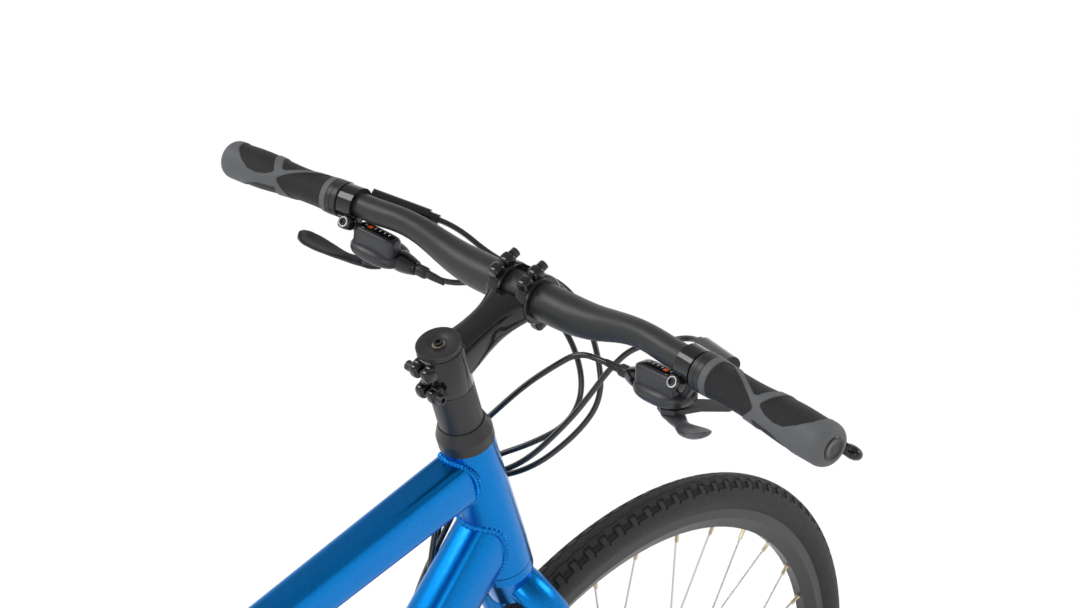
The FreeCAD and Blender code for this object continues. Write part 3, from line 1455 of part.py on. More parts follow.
group("grips", left_grip, left_lock, mirrored("right_grip", left_grip), mirrored("right_lock", left_lock))

# Brake levers: a clamp and master cylinder on the bar, and a blade on a pivot
tilt = math.radians(size.lever_tilt_angle)
lever_spot = lock_start - bar_out * (size.lever_clamp_gap + size.lever_clamp_width / 2)
lever_ahead = bar_ahead * math.cos(tilt) - UP * math.sin(tilt)
lever_normal = bar_out.cross(lever_ahead)
lever_pivot = lever_spot + lever_ahead * size.lever_pivot_reach
ring_half = bar_out * (size.lever_clamp_width / 2)
clamp_ring = rod("clamp_ring", "lever_clamp_radius", lever_spot - ring_half, lever_spot + ring_half)
bracket_plate = plate("lever_bracket", [
    ("-lever_ear_width / 2", "0"),
    ("lever_ear_width / 2", "0"),
    ("lever_ear_width / 2", "lever_pivot_reach"),
    ("lever_ear_width / 4", "lever_pivot_reach + lever_ear_width / 3"),
    ("-lever_ear_width / 4", "lever_pivot_reach + lever_ear_width / 3"),
    ("-lever_ear_width / 2", "lever_pivot_reach"),
], "lever_ear_height", lever_spot, bar_out, lever_normal, "lever_corner", "lever_edge")
lever_slot = block("lever_slot", "lever_length", "lever_reach", "lever_thickness + 2 * body_gap",
                   lever_spot + lever_ahead * (size.lever_slot_start + size.lever_reach / 2), bar_out,
                   lever_normal)
pin_half = lever_normal * (size.lever_ear_height / 2)
lever_pin = rod("lever_pin", "lever_pivot_radius", lever_pivot - pin_half, lever_pivot + pin_half)
master_near = lever_spot + bar_ahead * size.master_ahead + bar_out * size.master_start - UP * size.master_fall
master_far = lever_spot + bar_ahead * size.master_end_ahead - bar_out * size.master_end
master_far = master_far - UP * size.master_end_fall
master_end = master_far + unit(master_far - master_near) * size.master_nose
master = rod("master", "master_radius", master_near, master_far)
master_cap = rod("master_cap", "master_radius * cap_waist_share", master_far, master_end)
forked = cut("forked", fused("fork_blank", bracket_plate, clamp_ring), lever_slot)
left_lever_body = cut("left_lever_body", fused("lever_body", forked, lever_pin, master, master_cap),
                      bar_room)
group("brake_lever_bodies", left_lever_body, mirrored("right_lever_body", left_lever_body))
LEVER_SHARES = [(-0.066, 0.50), (-0.074, 0.70), (0.033, 0.862), (0.246, 0.975), (0.574, 1.0),
                (0.861, 1.01),
                (0.967, 0.985), (1.0, 0.905), (0.967, 0.836), (0.852, 0.88), (0.574, 0.845), (0.279,
                                                                                              0.793),
                (0.115, 0.664), (0.066, 0.5)]
blade_plate = plate("lever_plate", outlined(LEVER_SHARES, "lever_length", "lever_reach"),
                    "lever_thickness",
                    lever_spot, bar_out, lever_normal, "lever_corner", "lever_edge")
lever_hole = rod("lever_hole", "lever_pivot_radius + lever_play", lever_pivot - pin_half,
                 lever_pivot + pin_half)
keep("left_brake_lever", cut("left_brake_lever", blade_plate, lever_hole))
keep("right_brake_lever", mirrored("right_brake_lever", nodes["left_brake_lever"]))

# Shifters: a pod with a gear window hung under the bar, and a thumb lever and a trigger on one pivot
lean = math.radians(size.pod_tilt_angle)
pod_out = bar_out * math.cos(lean) + UP * math.sin(lean)
pod_up = UP * math.cos(lean) - bar_out * math.sin(lean)
pod_ahead = pod_out.cross(pod_up)
pod_spot = lever_spot - bar_out * size.pod_inset - UP * size.pod_drop
POD_SHARES = [(-0.5, -0.3), (-0.3, -0.5), (0.3, -0.5), (0.5, -0.3), (0.5, 0.3), (0.3, 0.5), (-0.3, 0.5),
              (-0.5, 0.3)]
pod_middle = pod_spot + pod_up * (size.pod_height / 2 - size.pod_floor)
pod_blank = plate("pod_blank", outlined(POD_SHARES, "pod_length", "pod_width"), "pod_height", pod_middle,
                  pod_out, -pod_up, "pod_corner", "pod_edge")
WINDOW_SHARES = [(-0.5, -0.5), (0.5, -0.5), (0.5, 0.5), (-0.5, 0.5)]
gear_window = plate("gear_window", outlined(WINDOW_SHARES, "window_length", "window_width"),
                    "window_height",
                    pod_spot + pod_up * size.window_level - pod_ahead * size.window_back, pod_out, -pod_up,
                    "window_corner", "window_edge")
pod_neck = rod("pod_neck", "pod_neck_radius", lever_spot, pod_spot + pod_out * size.pod_neck_outset)
shift_pivot = pod_spot + pod_out * size.pivot_outset
pivot_depth = worth("pod_floor + trigger_thickness + thumb_thickness + 2 * body_gap")
shift_pin = rod("shift_pin", "shift_pivot_radius", shift_pivot, shift_pivot - pod_up * pivot_depth)
nose_start = pod_middle - pod_out * (size.pod_length / 2 - size.pod_edge)
nose_end = nose_start - pod_out * (size.nose_length + size.pod_edge)
adjuster_end = nose_end - pod_out * size.adjuster_length
nose = turned("nose", [
    ("0", "0"),
    ("nose_root_radius", "0"),
    ("nose_tip_radius", "nose_length + pod_edge"),
    ("0", "nose_length + pod_edge"),
], nose_start, -pod_out)
adjuster = rod("adjuster", "adjuster_radius", adjuster_end, nose_end)
left_pod = cut("left_pod", fused("pod_joined", pod_blank, gear_window, pod_neck, shift_pin, nose,
                                 adjuster),
               clamp_ring, left_lever_body, bar_room)
group("shifter_housings", left_pod, mirrored("right_pod", left_pod))
shift_hole = rod("shift_hole", "shift_pivot_radius + running_gap", shift_pivot,
                 shift_pivot - pod_up * (pivot_depth * 2))
TRIGGER_SHARES = [(-0.26, -0.16), (0.0, -0.26), (0.24, -0.14), (0.42, 0.32), (0.78, 0.68), (0.76, 0.86),
                  (0.52, 0.84), (0.18, 0.56), (-0.12, 0.26), (-0.27, 0.1)]
trigger_level = worth("pod_floor + body_gap + trigger_thickness / 2")
trigger_plate = plate("trigger_plate", outlined(TRIGGER_SHARES, "trigger_length", "trigger_width"),
                      "trigger_thickness", shift_pivot - pod_up * trigger_level, pod_out, -pod_up,
                      "thumb_corner")
keep("left_release_trigger", cut("left_release_trigger", trigger_plate, shift_hole))
keep("right_release_trigger", mirrored("right_release_trigger", nodes["left_release_trigger"]))
thumb_back = math.radians(size.thumb_back_angle)
thumb_tilt = math.radians(size.thumb_tilt_angle)
thumb_way = pod_out * math.cos(thumb_back) - pod_ahead * math.sin(thumb_back)
thumb_rise = thumb_way * math.cos(thumb_tilt) + pod_up * math.sin(thumb_tilt)
thumb_face = pod_up * math.cos(thumb_tilt) - thumb_way * math.sin(thumb_tilt)
thumb_level = worth("pod_floor + 2 * body_gap + trigger_thickness + thumb_thickness / 2")
thumb_spot = shift_pivot - pod_up * thumb_level
ROOT_SHARES = [(-0.25, -0.3), (0.0, -0.42), (0.75, -0.36), (0.9, -0.2), (0.9, 0.2), (0.75, 0.36),
               (0.0, 0.42),
               (-0.25, 0.3)]
BLADE_SHARES = [(-0.2, -0.22), (0.2, -0.26), (0.45, -0.46), (0.72, -0.5), (0.94, -0.3), (1.0, 0.05),
                (0.86, 0.38),
                (0.6, 0.46), (0.25, 0.28), (-0.2, 0.22)]
thumb_root = plate("thumb_root", outlined(ROOT_SHARES, "thumb_root_length", "thumb_root_width"),
                   "thumb_thickness",
                   thumb_spot, thumb_way, -pod_up, "thumb_corner", "thumb_edge")
thumb_blade = plate("thumb_blade", outlined(BLADE_SHARES, "thumb_blade_length", "thumb_blade_width"),
                    "thumb_thickness", thumb_spot + thumb_way * size.thumb_reach, thumb_rise, -thumb_face,
                    "thumb_corner", "thumb_edge")
thumb_lever = fused("thumb_lever", thumb_root, thumb_blade)
keep("left_thumb_lever", cut("left_thumb_lever", thumb_lever, shift_hole))
keep("right_thumb_lever", mirrored("right_thumb_lever", nodes["left_thumb_lever"]))
group("cockpit_bolts", *cockpit_bolts)

# Seatpost with its rail clamp, rails and saddle
post_top = bracket + seat_up * size.seatpost_top
post_foot = post_top - seat_up * size.seatpost_length
post_tube = rod("post_tube", "seatpost_radius", post_foot, post_top)
post_bore = rod("post_bore", "seatpost_radius - seatpost_wall", post_foot - seat_up * size.overrun,
                post_top - seat_up * size.rail_clamp_length)
rail_mid = post_top + UP * size.rail_lift
RAIL_SHARES = [(0.43, 0.5, 0.45), (0.27, 0.95, 0.02), (0.12, 1, 0), (-0.18, 1, 0), (-0.36, 1.5, 0.5)]
left_rail = cord("left_rail", "rail_radius", [
    rail_mid + Vector(ahead * size.saddle_length, out * size.rail_half_spread, lift * size.saddle_rise)
    for ahead, out, lift in RAIL_SHARES])
right_rail = mirrored("right_rail", left_rail)
group("saddle_rails", left_rail, right_rail)
jaw_outline = [
    ("rail_clamp_length / 2", "-rail_clamp_width / 2"),
    ("rail_clamp_length / 2", "rail_clamp_width / 2"),
    ("-rail_clamp_length / 2", "rail_clamp_width / 2"),
    ("-rail_clamp_length / 2", "-rail_clamp_width / 2"),
]
jaw_shift = UP * ((size.rail_clamp_height + size.body_gap) / 2)
lower_jaw = plate("lower_jaw", jaw_outline, "rail_clamp_height", rail_mid - jaw_shift, AHEAD, UP,
                  "rail_clamp_corner")
upper_jaw = plate("upper_jaw", jaw_outline, "rail_clamp_height", rail_mid + jaw_shift, AHEAD, UP,
                  "rail_clamp_corner")
post_neck = formed("post_neck", loft(
    oval(post_top - seat_up * size.rail_clamp_length, LEFT, UP, size.seatpost_radius,
         size.seatpost_radius),
    oval(rail_mid - jaw_shift, LEFT, UP, size.post_head_radius, size.post_head_radius)))
post_piece = cut("post_piece", fused("post_blank", post_tube, post_neck, lower_jaw), post_bore, left_rail,
                 right_rail,
                 upper_jaw)
jaw_piece = cut("jaw_piece", upper_jaw, left_rail, right_rail)
group("seatpost", post_piece, jaw_piece)
SADDLE_SHARES = [(0.0, 0.5, 0.12, 0.6), (0.07, 0.84, 0.05, 0.86), (0.18, 1.0, 0.0, 1.0),
                 (0.31, 0.92, 0.02, 1.0),
                 (0.45, 0.66, 0.08, 0.94), (0.58, 0.43, 0.13, 0.86), (0.72, 0.33, 0.14, 0.8),
                 (0.86, 0.29, 0.14, 0.74), (0.95, 0.25, 0.16, 0.66), (1.0, 0.15, 0.24, 0.42)]
SECTION_SHARES = [(0, 0), (0.5, 0.04), (0.82, 0.17), (0.98, 0.45), (0.95, 0.8), (0.86, 1.0), (0.45, 0.98),
                  (0, 0.97)]
saddle_top = rail_mid.z + size.saddle_rise


def saddle_form(wall, sink):
    """A loft of crowned sections from the back of the saddle to its nose, drawn in by the wall."""
    wires = []
    length = size.saddle_length - 2 * wall
    for share, width, fall, depth in SADDLE_SHARES:
        x = rail_mid.x - size.saddle_length * size.saddle_back_share + wall + length * share
        half = size.saddle_width / 2 * width - wall * size.saddle_flank_share
        top = saddle_top - size.saddle_depth * fall - wall
        tall = size.saddle_depth * depth - wall + sink
        right = [Vector(x, half * y, top - tall * z) for y, z in SECTION_SHARES]
        left = [Vector(x, -spot.y, spot.z) for spot in right[-2:0:-1]]
        curve = Part.BSplineCurve()
        curve.interpolate(right + left, PeriodicFlag=True)
        wires.append(Part.Wire(curve.toShape()))
    return loft(*wires)


cushion_skin = formed("cushion_skin", saddle_form(0, 0))
cushion_room = formed("cushion_room", saddle_form(size.saddle_wall, size.saddle_depth))
cushion = cut("cushion", cut("cushion_sockets", cushion_skin, nodes["saddle_rails"]), cushion_room)
keep("saddle", cushion)


# Chain line: where each roller lies, found from the sprockets that the chain passes
def pitch_radius(teeth):
    """The radius of the circle on which the rollers sit."""
    return size.chain_pitch / (2 * math.sin(math.pi / teeth))


rest_cog = int(size.rest_cog_place)
guide = rear_axle + Vector(size.guide_ahead, 0, -size.guide_drop)


def tension_at(angle):
    """The tension pulley for an angle of the cage ahead of straight down."""
    return guide + Vector(math.sin(math.radians(angle)), 0,
                          -math.cos(math.radians(angle))) * size.cage_length


def chain_path(angle):
    """Arcs and straights in turn, each a length and a function of the distance along it."""
    stops = [(bracket, pitch_radius(size.large_ring_teeth), 1),
             (tension_at(angle), pitch_radius(size.pulley_teeth), 1),
             (guide, pitch_radius(size.pulley_teeth), -1), (rear_axle, pitch_radius(COGS[rest_cog]), 1)]
    normals = []
    for index, (here, radius, sense) in enumerate(stops):
        there, other_radius, other_sense = stops[(index + 1) % len(stops)]
        gap = there - here
        lean_angle = math.acos((sense * radius - other_sense * other_radius) / gap.Length)
        heading = math.atan2(gap.z, gap.x) + lean_angle
        normals.append(Vector(math.cos(heading), 0, math.sin(heading)))
    pieces = []
    for index, (here, radius, sense) in enumerate(stops):
        came = normals[index - 1] * sense
        leaves = normals[index] * sense
        start = math.atan2(came.z, came.x)
        swept = (sense * (start - math.atan2(leaves.z, leaves.x))) % (2 * math.pi)
        pieces.append((swept * radius, lambda s, here=here, radius=radius, sense=sense, start=start:
                       here + Vector(math.cos(start - sense * s / radius), 0,
                                     math.sin(start - sense * s / radius)) * radius))
        there, other_radius, other_sense = stops[(index + 1) % len(stops)]
        begin = here + normals[index] * (sense * radius)
        run = there + normals[index] * (other_sense * other_radius) - begin
        pieces.append((run.Length, lambda s, begin=begin, run=run: begin + unit(run) * s))
    return pieces


def point_along(pieces, distance):
    """The point at a distance along the closed path."""
    distance %= sum(length for length, place in pieces)
    for length, place in pieces:
        if distance <= length:
            return place(distance)
        distance -= length
    return pieces[0][1](0)


def march(pieces, count):
    """Roller centres one pitch apart, and how far the last step ends past the start."""
    spots = [point_along(pieces, 0)]
    distance = 0
    for step in range(count):
        low = distance + size.chain_pitch * size.step_low_share
        high = distance + size.chain_pitch * size.step_high_share
        for halving in range(40):
            middle = (low + high) / 2
            if (point_along(pieces, middle) - spots[-1]).Length < size.chain_pitch:
                low = middle
            else:
                high = middle
        distance = low
        spots.append(point_along(pieces, distance))
    return spots, distance - sum(length for length, place in pieces)


start_path = chain_path(size.cage_start_angle)
start_count = sum(length for length, place in start_path) / size.chain_pitch
link_count = 2 * round(start_count / 2)
low_angle = size.cage_start_angle - size.cage_swing_angle
high_angle = size.cage_start_angle + size.cage_swing_angle
low_over = march(chain_path(low_angle), link_count)[1]
for halving in range(30):
    cage_angle = (low_angle + high_angle) / 2
    if march(chain_path(cage_angle), link_count)[1] * low_over > 0:
        low_angle = cage_angle
    else:
        high_angle = cage_angle
rollers = march(chain_path(cage_angle), link_count)[0][:-1]
tension = tension_at(cage_angle)


def phase(centre, radius):
    """The angle of a roller that sits on a sprocket."""
    spot = min(rollers, key=lambda place: abs((place - centre).Length - radius))
    return math.degrees(math.atan2(spot.z - centre.z, spot.x - centre.x))


def sprocket(label, teeth, centre, y, turn, thickness):
    """A toothed disc: a seat for each roller, and a tooth between each two seats."""
    teeth = int(teeth)
    pitch = pitch_radius(teeth)
    seat = size.roller_radius + size.tooth_seat_gap
    edges = []
    for index in range(teeth):
        angle = math.radians(turn) + 2 * math.pi * index / teeth
        out = Vector(math.cos(angle), math.sin(angle), 0)
        aside = Vector(-out.y, out.x, 0)
        middle = out * pitch
        flank = math.radians(size.flank_angle)
        low = middle + aside * (-seat * math.cos(flank)) - out * (seat * math.sin(flank))
        high = middle + aside * (seat * math.cos(flank)) - out * (seat * math.sin(flank))
        half = math.pi / teeth
        tips = []
        for hand in (-1, 1):
            tip = Vector(math.cos(angle + half), math.sin(angle + half), 0) * (pitch + size.tooth_height)
            tip += Vector(-math.sin(angle + half), math.cos(angle + half),
                          0) * (hand * size.tooth_tip / 2)
            tips.append(tip)
        following = angle + 2 * half
        out_next = Vector(math.cos(following), math.sin(following), 0)
        aside_next = Vector(-out_next.y, out_next.x, 0)
        low_next = out_next * pitch - aside_next * (seat * math.cos(flank))
        low_next = low_next - out_next * (seat * math.sin(flank))
        edges.append(Part.Arc(low, middle - out * seat, high).toShape())
        edges.append(Part.makeLine(high, tips[0]))
        edges.append(Part.makeLine(tips[0], tips[1]))
        edges.append(Part.makeLine(tips[1], low_next))
    disc = Part.Face(Part.Wire(edges)).extrude(Vector(0, 0, worth(thickness)))
    shape = formed(label, disc)
    shape.Placement = Placement(across(centre, y + worth(thickness) / 2),
                                Rotation(AHEAD, UP, -LEFT, "ZXY"))
    return shape


# Chain: inner links with their rollers, outer links with their pins
def link_plate():
    """One side plate with a waist, lying along X from roller to roller."""
    tall = size.link_half_height
    waist = tall * size.link_waist_share
    pitch = size.chain_pitch
    edges = [
        Part.Arc(Vector(0, 0, tall), Vector(pitch / 2, 0, waist), Vector(pitch, 0, tall)).toShape(),
        Part.Arc(Vector(pitch, 0, tall), Vector(pitch + tall, 0, 0), Vector(pitch, 0, -tall)).toShape(),
        Part.Arc(Vector(pitch, 0, -tall), Vector(pitch / 2, 0, -waist), Vector(0, 0, -tall)).toShape(),
        Part.Arc(Vector(0, 0, -tall), Vector(-tall, 0, 0), Vector(0, 0, tall)).toShape(),
    ]
    return Part.Face(Part.Wire(edges)).extrude(LEFT * size.link_plate)


def pins(radius, half):
    """A round bar across the chain at each end of a link."""
    return [Part.makeCylinder(radius, 2 * half, Vector(x, -half, 0), LEFT) for x in (0, size.chain_pitch)]


inner_half = size.link_inner_half_width
outer_half = inner_half + size.link_plate + size.running_gap
outer_edge = outer_half + size.link_plate
side_plate = link_plate()
inner_link = side_plate.translated(LEFT * inner_half)
inner_link = inner_link.fuse([side_plate.translated(LEFT * (-inner_half - size.link_plate))]
                             + pins(size.roller_radius, inner_half))
for hole in pins(size.pin_radius + size.running_gap, outer_edge):
    inner_link = inner_link.cut(hole)
outer_link = side_plate.translated(LEFT * outer_half)
outer_link = outer_link.fuse([side_plate.translated(LEFT * (-outer_half - size.link_plate))]
                             + pins(size.pin_radius, outer_edge))
links = []
for index, spot in enumerate(rollers):
    onward = rollers[(index + 1) % len(rollers)] - spot
    link = (inner_link if index % 2 == 0 else outer_link).copy()
    link.Placement = Placement(across(spot, -size.chainline), Rotation(AHEAD, onward))
    links.append(link)
keep("chain", formed("chain", Part.makeCompound(links)))

# Cassette on its freehub body
pieces = []
outer_face = size.chainline + rest_cog * size.cog_spacing + size.sprocket_thickness / 2
for index, teeth in enumerate(COGS):
    y = -(size.chainline + (rest_cog - index) * size.cog_spacing)
    turn = phase(rear_axle, pitch_radius(COGS[rest_cog])) if index == rest_cog else 0
    disc = sprocket(f"cog_{teeth}_blank", teeth, rear_axle, y, turn, "sprocket_thickness")
    half = LEFT * size.sprocket_thickness
    pieces.append(cut(f"cog_{teeth}", disc, rod("cog_bore", "cog_bore", across(rear_axle, y) - half,
                                                across(rear_axle, y) + half)))
    if index:
        edge = LEFT * (size.sprocket_thickness / 2)
        gap_end = across(rear_axle, y) - edge
        gap_start = across(rear_axle, y - size.cog_spacing) + edge
        pieces.append(rod("cog_spacer", "cog_spacer_radius", gap_start, gap_end, "cog_bore"))
freehub_end = worth("rear_flange_right - flange_width / 2 - hub_step - body_gap")
pieces.append(rod("freehub", "cog_bore", across(rear_axle, -outer_face), across(rear_axle, freehub_end),
                  "axle_radius + running_gap"))
pieces.append(rod("lockring", "lockring_radius", across(rear_axle, -outer_face - size.lockring_height),
                  across(rear_axle, -outer_face), "lockring_bore"))
group("cassette", *pieces)

# Chainrings with their bolts
small_y = size.ring_spacing - size.chainline
ring_mid = across(bracket, -size.chainline)
ring_reach = LEFT * size.ring_spacing
large_blank = sprocket("large_ring_blank", size.large_ring_teeth, bracket, -size.chainline,
                       phase(bracket, pitch_radius(size.large_ring_teeth)), "sprocket_thickness")
small_blank = sprocket("small_ring_blank", size.small_ring_teeth, bracket, small_y, 0,
                       "sprocket_thickness")
ring_hole = rod("ring_hole", "ring_bolt_circle - ring_land", ring_mid - ring_reach,
                ring_mid + ring_reach * 2)
large_root = f"{round(pitch_radius(size.large_ring_teeth), 3)} - roller_radius - ring_land"
ring_gaps = windows("ring_gaps", ring_mid, "ring_bolt_circle - ring_land", large_root,
                    "sprocket_thickness",
                    size.spider_count, "spider_width", 0)
bolt_angles = [360 * index / size.spider_count for index in range(int(size.spider_count))]
ring_bolts = []
ring_drills = []
for angle in bolt_angles:
    spot = around(bracket, size.ring_bolt_circle, angle, 0)
    near = across(spot, -size.chainline - size.sprocket_thickness / 2)
    far = across(spot, small_y + size.sprocket_thickness / 2)
    ring_drills.append(rod("ring_drill", "ring_bolt_radius + running_gap", near - ring_reach,
                           far + ring_reach))
    ring_bolts.append(turned("ring_bolt", [
        ("0", "-bolt_head_share * ring_bolt_head"),
        ("ring_bolt_head", "-bolt_head_share * ring_bolt_head"),
        ("ring_bolt_head", "0"),
        ("ring_bolt_radius", "0"),
        ("ring_bolt_radius", "ring_spacing + sprocket_thickness"),
        ("ring_bolt_head", "ring_spacing + sprocket_thickness"),
        ("ring_bolt_head", "ring_spacing + sprocket_thickness + bolt_head_share * ring_bolt_head"),
        ("0", "ring_spacing + sprocket_thickness + bolt_head_share * ring_bolt_head"),
    ], near, LEFT))
drill_set = doc.addObject("Part::Compound", "ring_drills")
drill_set.Links = ring_drills
large_ring = cut("large_ring", large_blank, ring_hole, ring_gaps, drill_set)
small_ring = cut("small_ring", small_blank, ring_hole, drill_set)
group("chainrings", large_ring, small_ring, *ring_bolts)

# Crank arms with the spindle, the spider and the pedal axles
arm_y = size.chainline + size.ring_gap + size.crank_arm_depth / 2
eye_y = arm_y + size.crank_outset
boss_in = worth("shell_width / 2 + cup_flange + body_gap")
boss_out = arm_y + size.crank_arm_depth / 2


def crank_arm(name, hand, toward):
    """One arm out to its pedal eye; hand is 1 on the left, and toward points along the arm."""
    wires = []
    for share, width, depth in ((0, 1.1, 1.0), (0.35, 0.95, 0.95), (0.7, 0.85, 0.85), (1, 0.85, 0.85)):
        y = hand * (arm_y + size.crank_outset * share)
        spot = across(bracket + toward * (size.crank_length * share), y)
        tall = size.crank_arm_width / 2 * width
        deep = size.crank_arm_depth / 2 * depth
        wires.append(soft_box(spot, UP, toward, tall, deep, deep * size.crank_corner_share))
    arm = formed(name + "_arm_form", loft(*wires))
    start = across(bracket, hand * boss_in)
    boss_piece = rod(name + "_boss", "crank_boss_radius", start, across(bracket, hand * boss_out))
    eye = bracket + toward * size.crank_length
    depth = size.crank_arm_depth * size.crank_eye_share
    eye_piece = rod(name + "_eye", "crank_eye_radius", across(eye, hand * (eye_y - depth)),
                    across(eye, hand * (eye_y + depth)))
    hole = rod(name + "_eye_hole", "pedal_axle_radius", across(eye, hand * (eye_y - depth * 2)),
               across(eye, hand * (eye_y + depth * 2)))
    return arm, boss_piece, eye_piece, hole, across(eye, hand * (eye_y - depth))


spindle = rod("spindle", "spindle_radius", across(bracket, -boss_out), across(bracket, boss_out))
spider_y = -size.chainline + size.ring_spacing / 2
spider = []
for angle in bolt_angles:
    toward = aslant(angle)
    spider.append(block("spider_arm", "spider_reach", "ring_spacing - sprocket_thickness", "spider_width",
                        across(bracket,
                               spider_y) + toward * (size.spider_reach / 2), toward, toward.cross(LEFT)))
right_parts = crank_arm("right_crank", -1, AHEAD)
left_parts = crank_arm("left_crank", 1, -AHEAD)
right_arm = cut("right_arm", fused("right_arm_blank", *right_parts[:3], *spider), right_parts[3], spindle,
                drill_set)
left_arm = cut("left_arm", fused("left_arm_blank", *left_parts[:3]), left_parts[3], spindle)
axle_reach = worth("crank_arm_depth * crank_eye_share * 2 + pedal_width - pedal_gap")
pedal_axles = []
for parts, hand in ((left_parts, 1), (right_parts, -1)):
    pedal_axles.append(turned("pedal_axle", [
        ("0", "0"),
        ("pedal_axle_radius", "0"),
        ("pedal_axle_radius", "crank_arm_depth * crank_eye_share * 2 + pedal_gap * 2"),
        ("pedal_tip_radius", str(round(axle_reach, 3))),
        ("0", str(round(axle_reach, 3))),
    ], parts[4], LEFT * hand))
group("crank_arms", right_arm, left_arm, spindle, *pedal_axles)


# Pedals
def pedal(name, parts, hand):
    """A caged platform about a core that turns on the axle."""
    start = parts[4] + LEFT * (hand * worth("crank_arm_depth * crank_eye_share * 2 + pedal_gap"))
    middle = start + LEFT * (hand * size.pedal_width / 2)
    half = [("-pedal_length / 2", "-pedal_width / 2"), ("pedal_length / 2", "-pedal_width / 2"),
            ("pedal_length / 2", "pedal_width / 2"), ("-pedal_length / 2", "pedal_width / 2")]
    rim = plate(name + "_rim", half, "pedal_height", middle, AHEAD, UP, "pedal_corner", "pedal_edge")
    room = plate(name + "_room", [(x + (" + pedal_rail" if x[0] == "-" else " - pedal_rail"),
                                   y + (" + pedal_rail" if y[0] == "-" else " - pedal_rail"))
                                  for x, y in half],
                 "pedal_height * 2", middle, AHEAD, UP, "pedal_corner - pedal_rail * pedal_inner_share")
    core = rod(name + "_core", "pedal_core_radius", start, start + LEFT * (hand * size.pedal_width))
    cage = cut(name + "_cage", rim, room)
    bore = rod(name + "_bore", "pedal_axle_radius + running_gap", start - LEFT * (hand * size.overrun),
               start + LEFT * (hand * size.pedal_width - hand * size.pedal_gap))
    return keep(name, cut(name, fused(name + "_blank", cage, core), bore))


pedal("left_pedal", left_parts, 1)
pedal("right_pedal", right_parts, -1)

# Rear derailleur: a knuckle on the hanger, two links, and a knuckle that carries the cage
link_run = Vector(size.link_ahead, size.link_inboard, -size.link_fall)
slant = math.radians(size.link_slant_angle)
link_axis = unit(link_run.cross(Vector(0, math.cos(slant), -math.sin(slant))))
link_along = unit(link_run)
link_side = link_axis.cross(link_along)
link_top = rear_axle + Vector(-size.link_top_back, -size.link_top_outboard, -size.link_top_drop)
link_foot = link_top + link_run
pair_half = link_side * (size.link_pair_spacing / 2)
link_pin_half = worth("link_bar_width / 2 + body_gap + link_ear")
run_text = str(round(link_run.Length, 3))


def link_pins(label, radius, spot, half):
    """The two pivots at one end of the pair of links."""
    return [rod(label, radius, spot + pair_half * hand - link_axis * half,
                spot + pair_half * hand + link_axis * half)
            for hand in (-1, 1)]


def derailleur_link(label, hand):
    """A bar with a pin through each end."""
    bar = plate(label + "_bar", [
        ("-link_eye_radius", "-link_eye_radius"),
        (f"{run_text} + link_eye_radius", "-link_eye_radius"),
        (f"{run_text} + link_eye_radius", "link_eye_radius"),
        ("-link_eye_radius", "link_eye_radius"),
    ], "link_bar_width", link_top + pair_half * hand, link_along, link_axis, "link_eye_radius - running_gap")
    spots = [link_top + pair_half * hand, link_foot + pair_half * hand]
    ends = [rod(label + "_pin", "link_pin_radius", spot - link_axis * link_pin_half,
                spot + link_axis * link_pin_half)
            for spot in spots]
    return keep(label, fused(label, bar, *ends))


derailleur_link("rear_mech_outer_link", -1)
derailleur_link("rear_mech_inner_link", 1)


def clevis(label, spot, hand):
    """Two ears about the ends of the links, joined behind them; hand tells which way the ears run."""
    ears = []
    for side in (-1, 1):
        level = worth("link_bar_width / 2 + body_gap + link_ear / 2") * side
        reach = "link_bridge_place + link_bridge / 2 + link_ear_radius"
        middle = (size.link_bridge_place + size.link_bridge / 2 - size.link_ear_radius) / 2
        ears.append(block(label + "_ear", reach, "link_half_span * 2", "link_ear",
                          spot + link_along * (hand * middle) + link_axis * level, link_along, link_axis))
    bridge_piece = block(label + "_bridge", "link_bridge", "link_half_span * 2",
                         "link_bar_width + 2 * body_gap + 2 * link_ear",
                         spot + link_along * (hand * size.link_bridge_place), link_along, link_axis)
    return ears + [bridge_piece], spot + link_along * (hand * size.link_bridge_place)


upper_clevis, upper_joint = clevis("upper_clevis", link_top, -1)
mount_face = across(hanger, -size.rear_spacing / 2 - size.dropout_thickness)
mount_end = mount_face - LEFT * size.knuckle_length
mount_mid = (mount_face + mount_end) * 0.5
knuckle = rod("upper_knuckle", "knuckle_radius", mount_end, mount_face)
mount_bolt = rod("mount_bolt", "hanger_bolt_radius", mount_end, across(hanger, -size.rear_spacing / 2))
upper_arm = rod("upper_arm", "knuckle_arm_radius", mount_mid, upper_joint)
upper_holes = link_pins("upper_hole", "link_pin_radius + running_gap", link_top, link_pin_half * 2)
upper_rooms = link_pins("upper_room", "link_eye_radius + body_gap", link_top,
                        worth("link_bar_width / 2 + body_gap"))
keep("rear_mech_body", cut("rear_mech_body", fused("rear_mech_blank", *upper_clevis, knuckle, mount_bolt,
                                                   upper_arm),
                           *upper_holes, *upper_rooms))
lower_clevis, lower_joint = clevis("lower_clevis", link_foot, 1)
cage_face = -size.chainline - size.cage_half_gap - size.cage_plate
knuckle_face = across(guide, cage_face - size.body_gap)
knuckle_end = knuckle_face - LEFT * size.swing_knuckle_length
swing_knuckle = rod("swing_knuckle", "knuckle_radius", knuckle_end, knuckle_face)
lower_arm = rod("lower_arm", "knuckle_arm_radius", (knuckle_face + knuckle_end) * 0.5, lower_joint)
stud_hole = rod("stud_hole", "cage_stud_radius + running_gap", knuckle_end + LEFT * size.cage_plate,
                knuckle_face)
lower_holes = link_pins("lower_hole", "link_pin_radius + running_gap", link_foot, link_pin_half * 2)
keep("rear_mech_knuckle", cut("rear_mech_knuckle", fused("swing_blank", *lower_clevis, swing_knuckle,
                                                         lower_arm),
                              stud_hole, *lower_holes))
cage_along = unit(tension - guide)
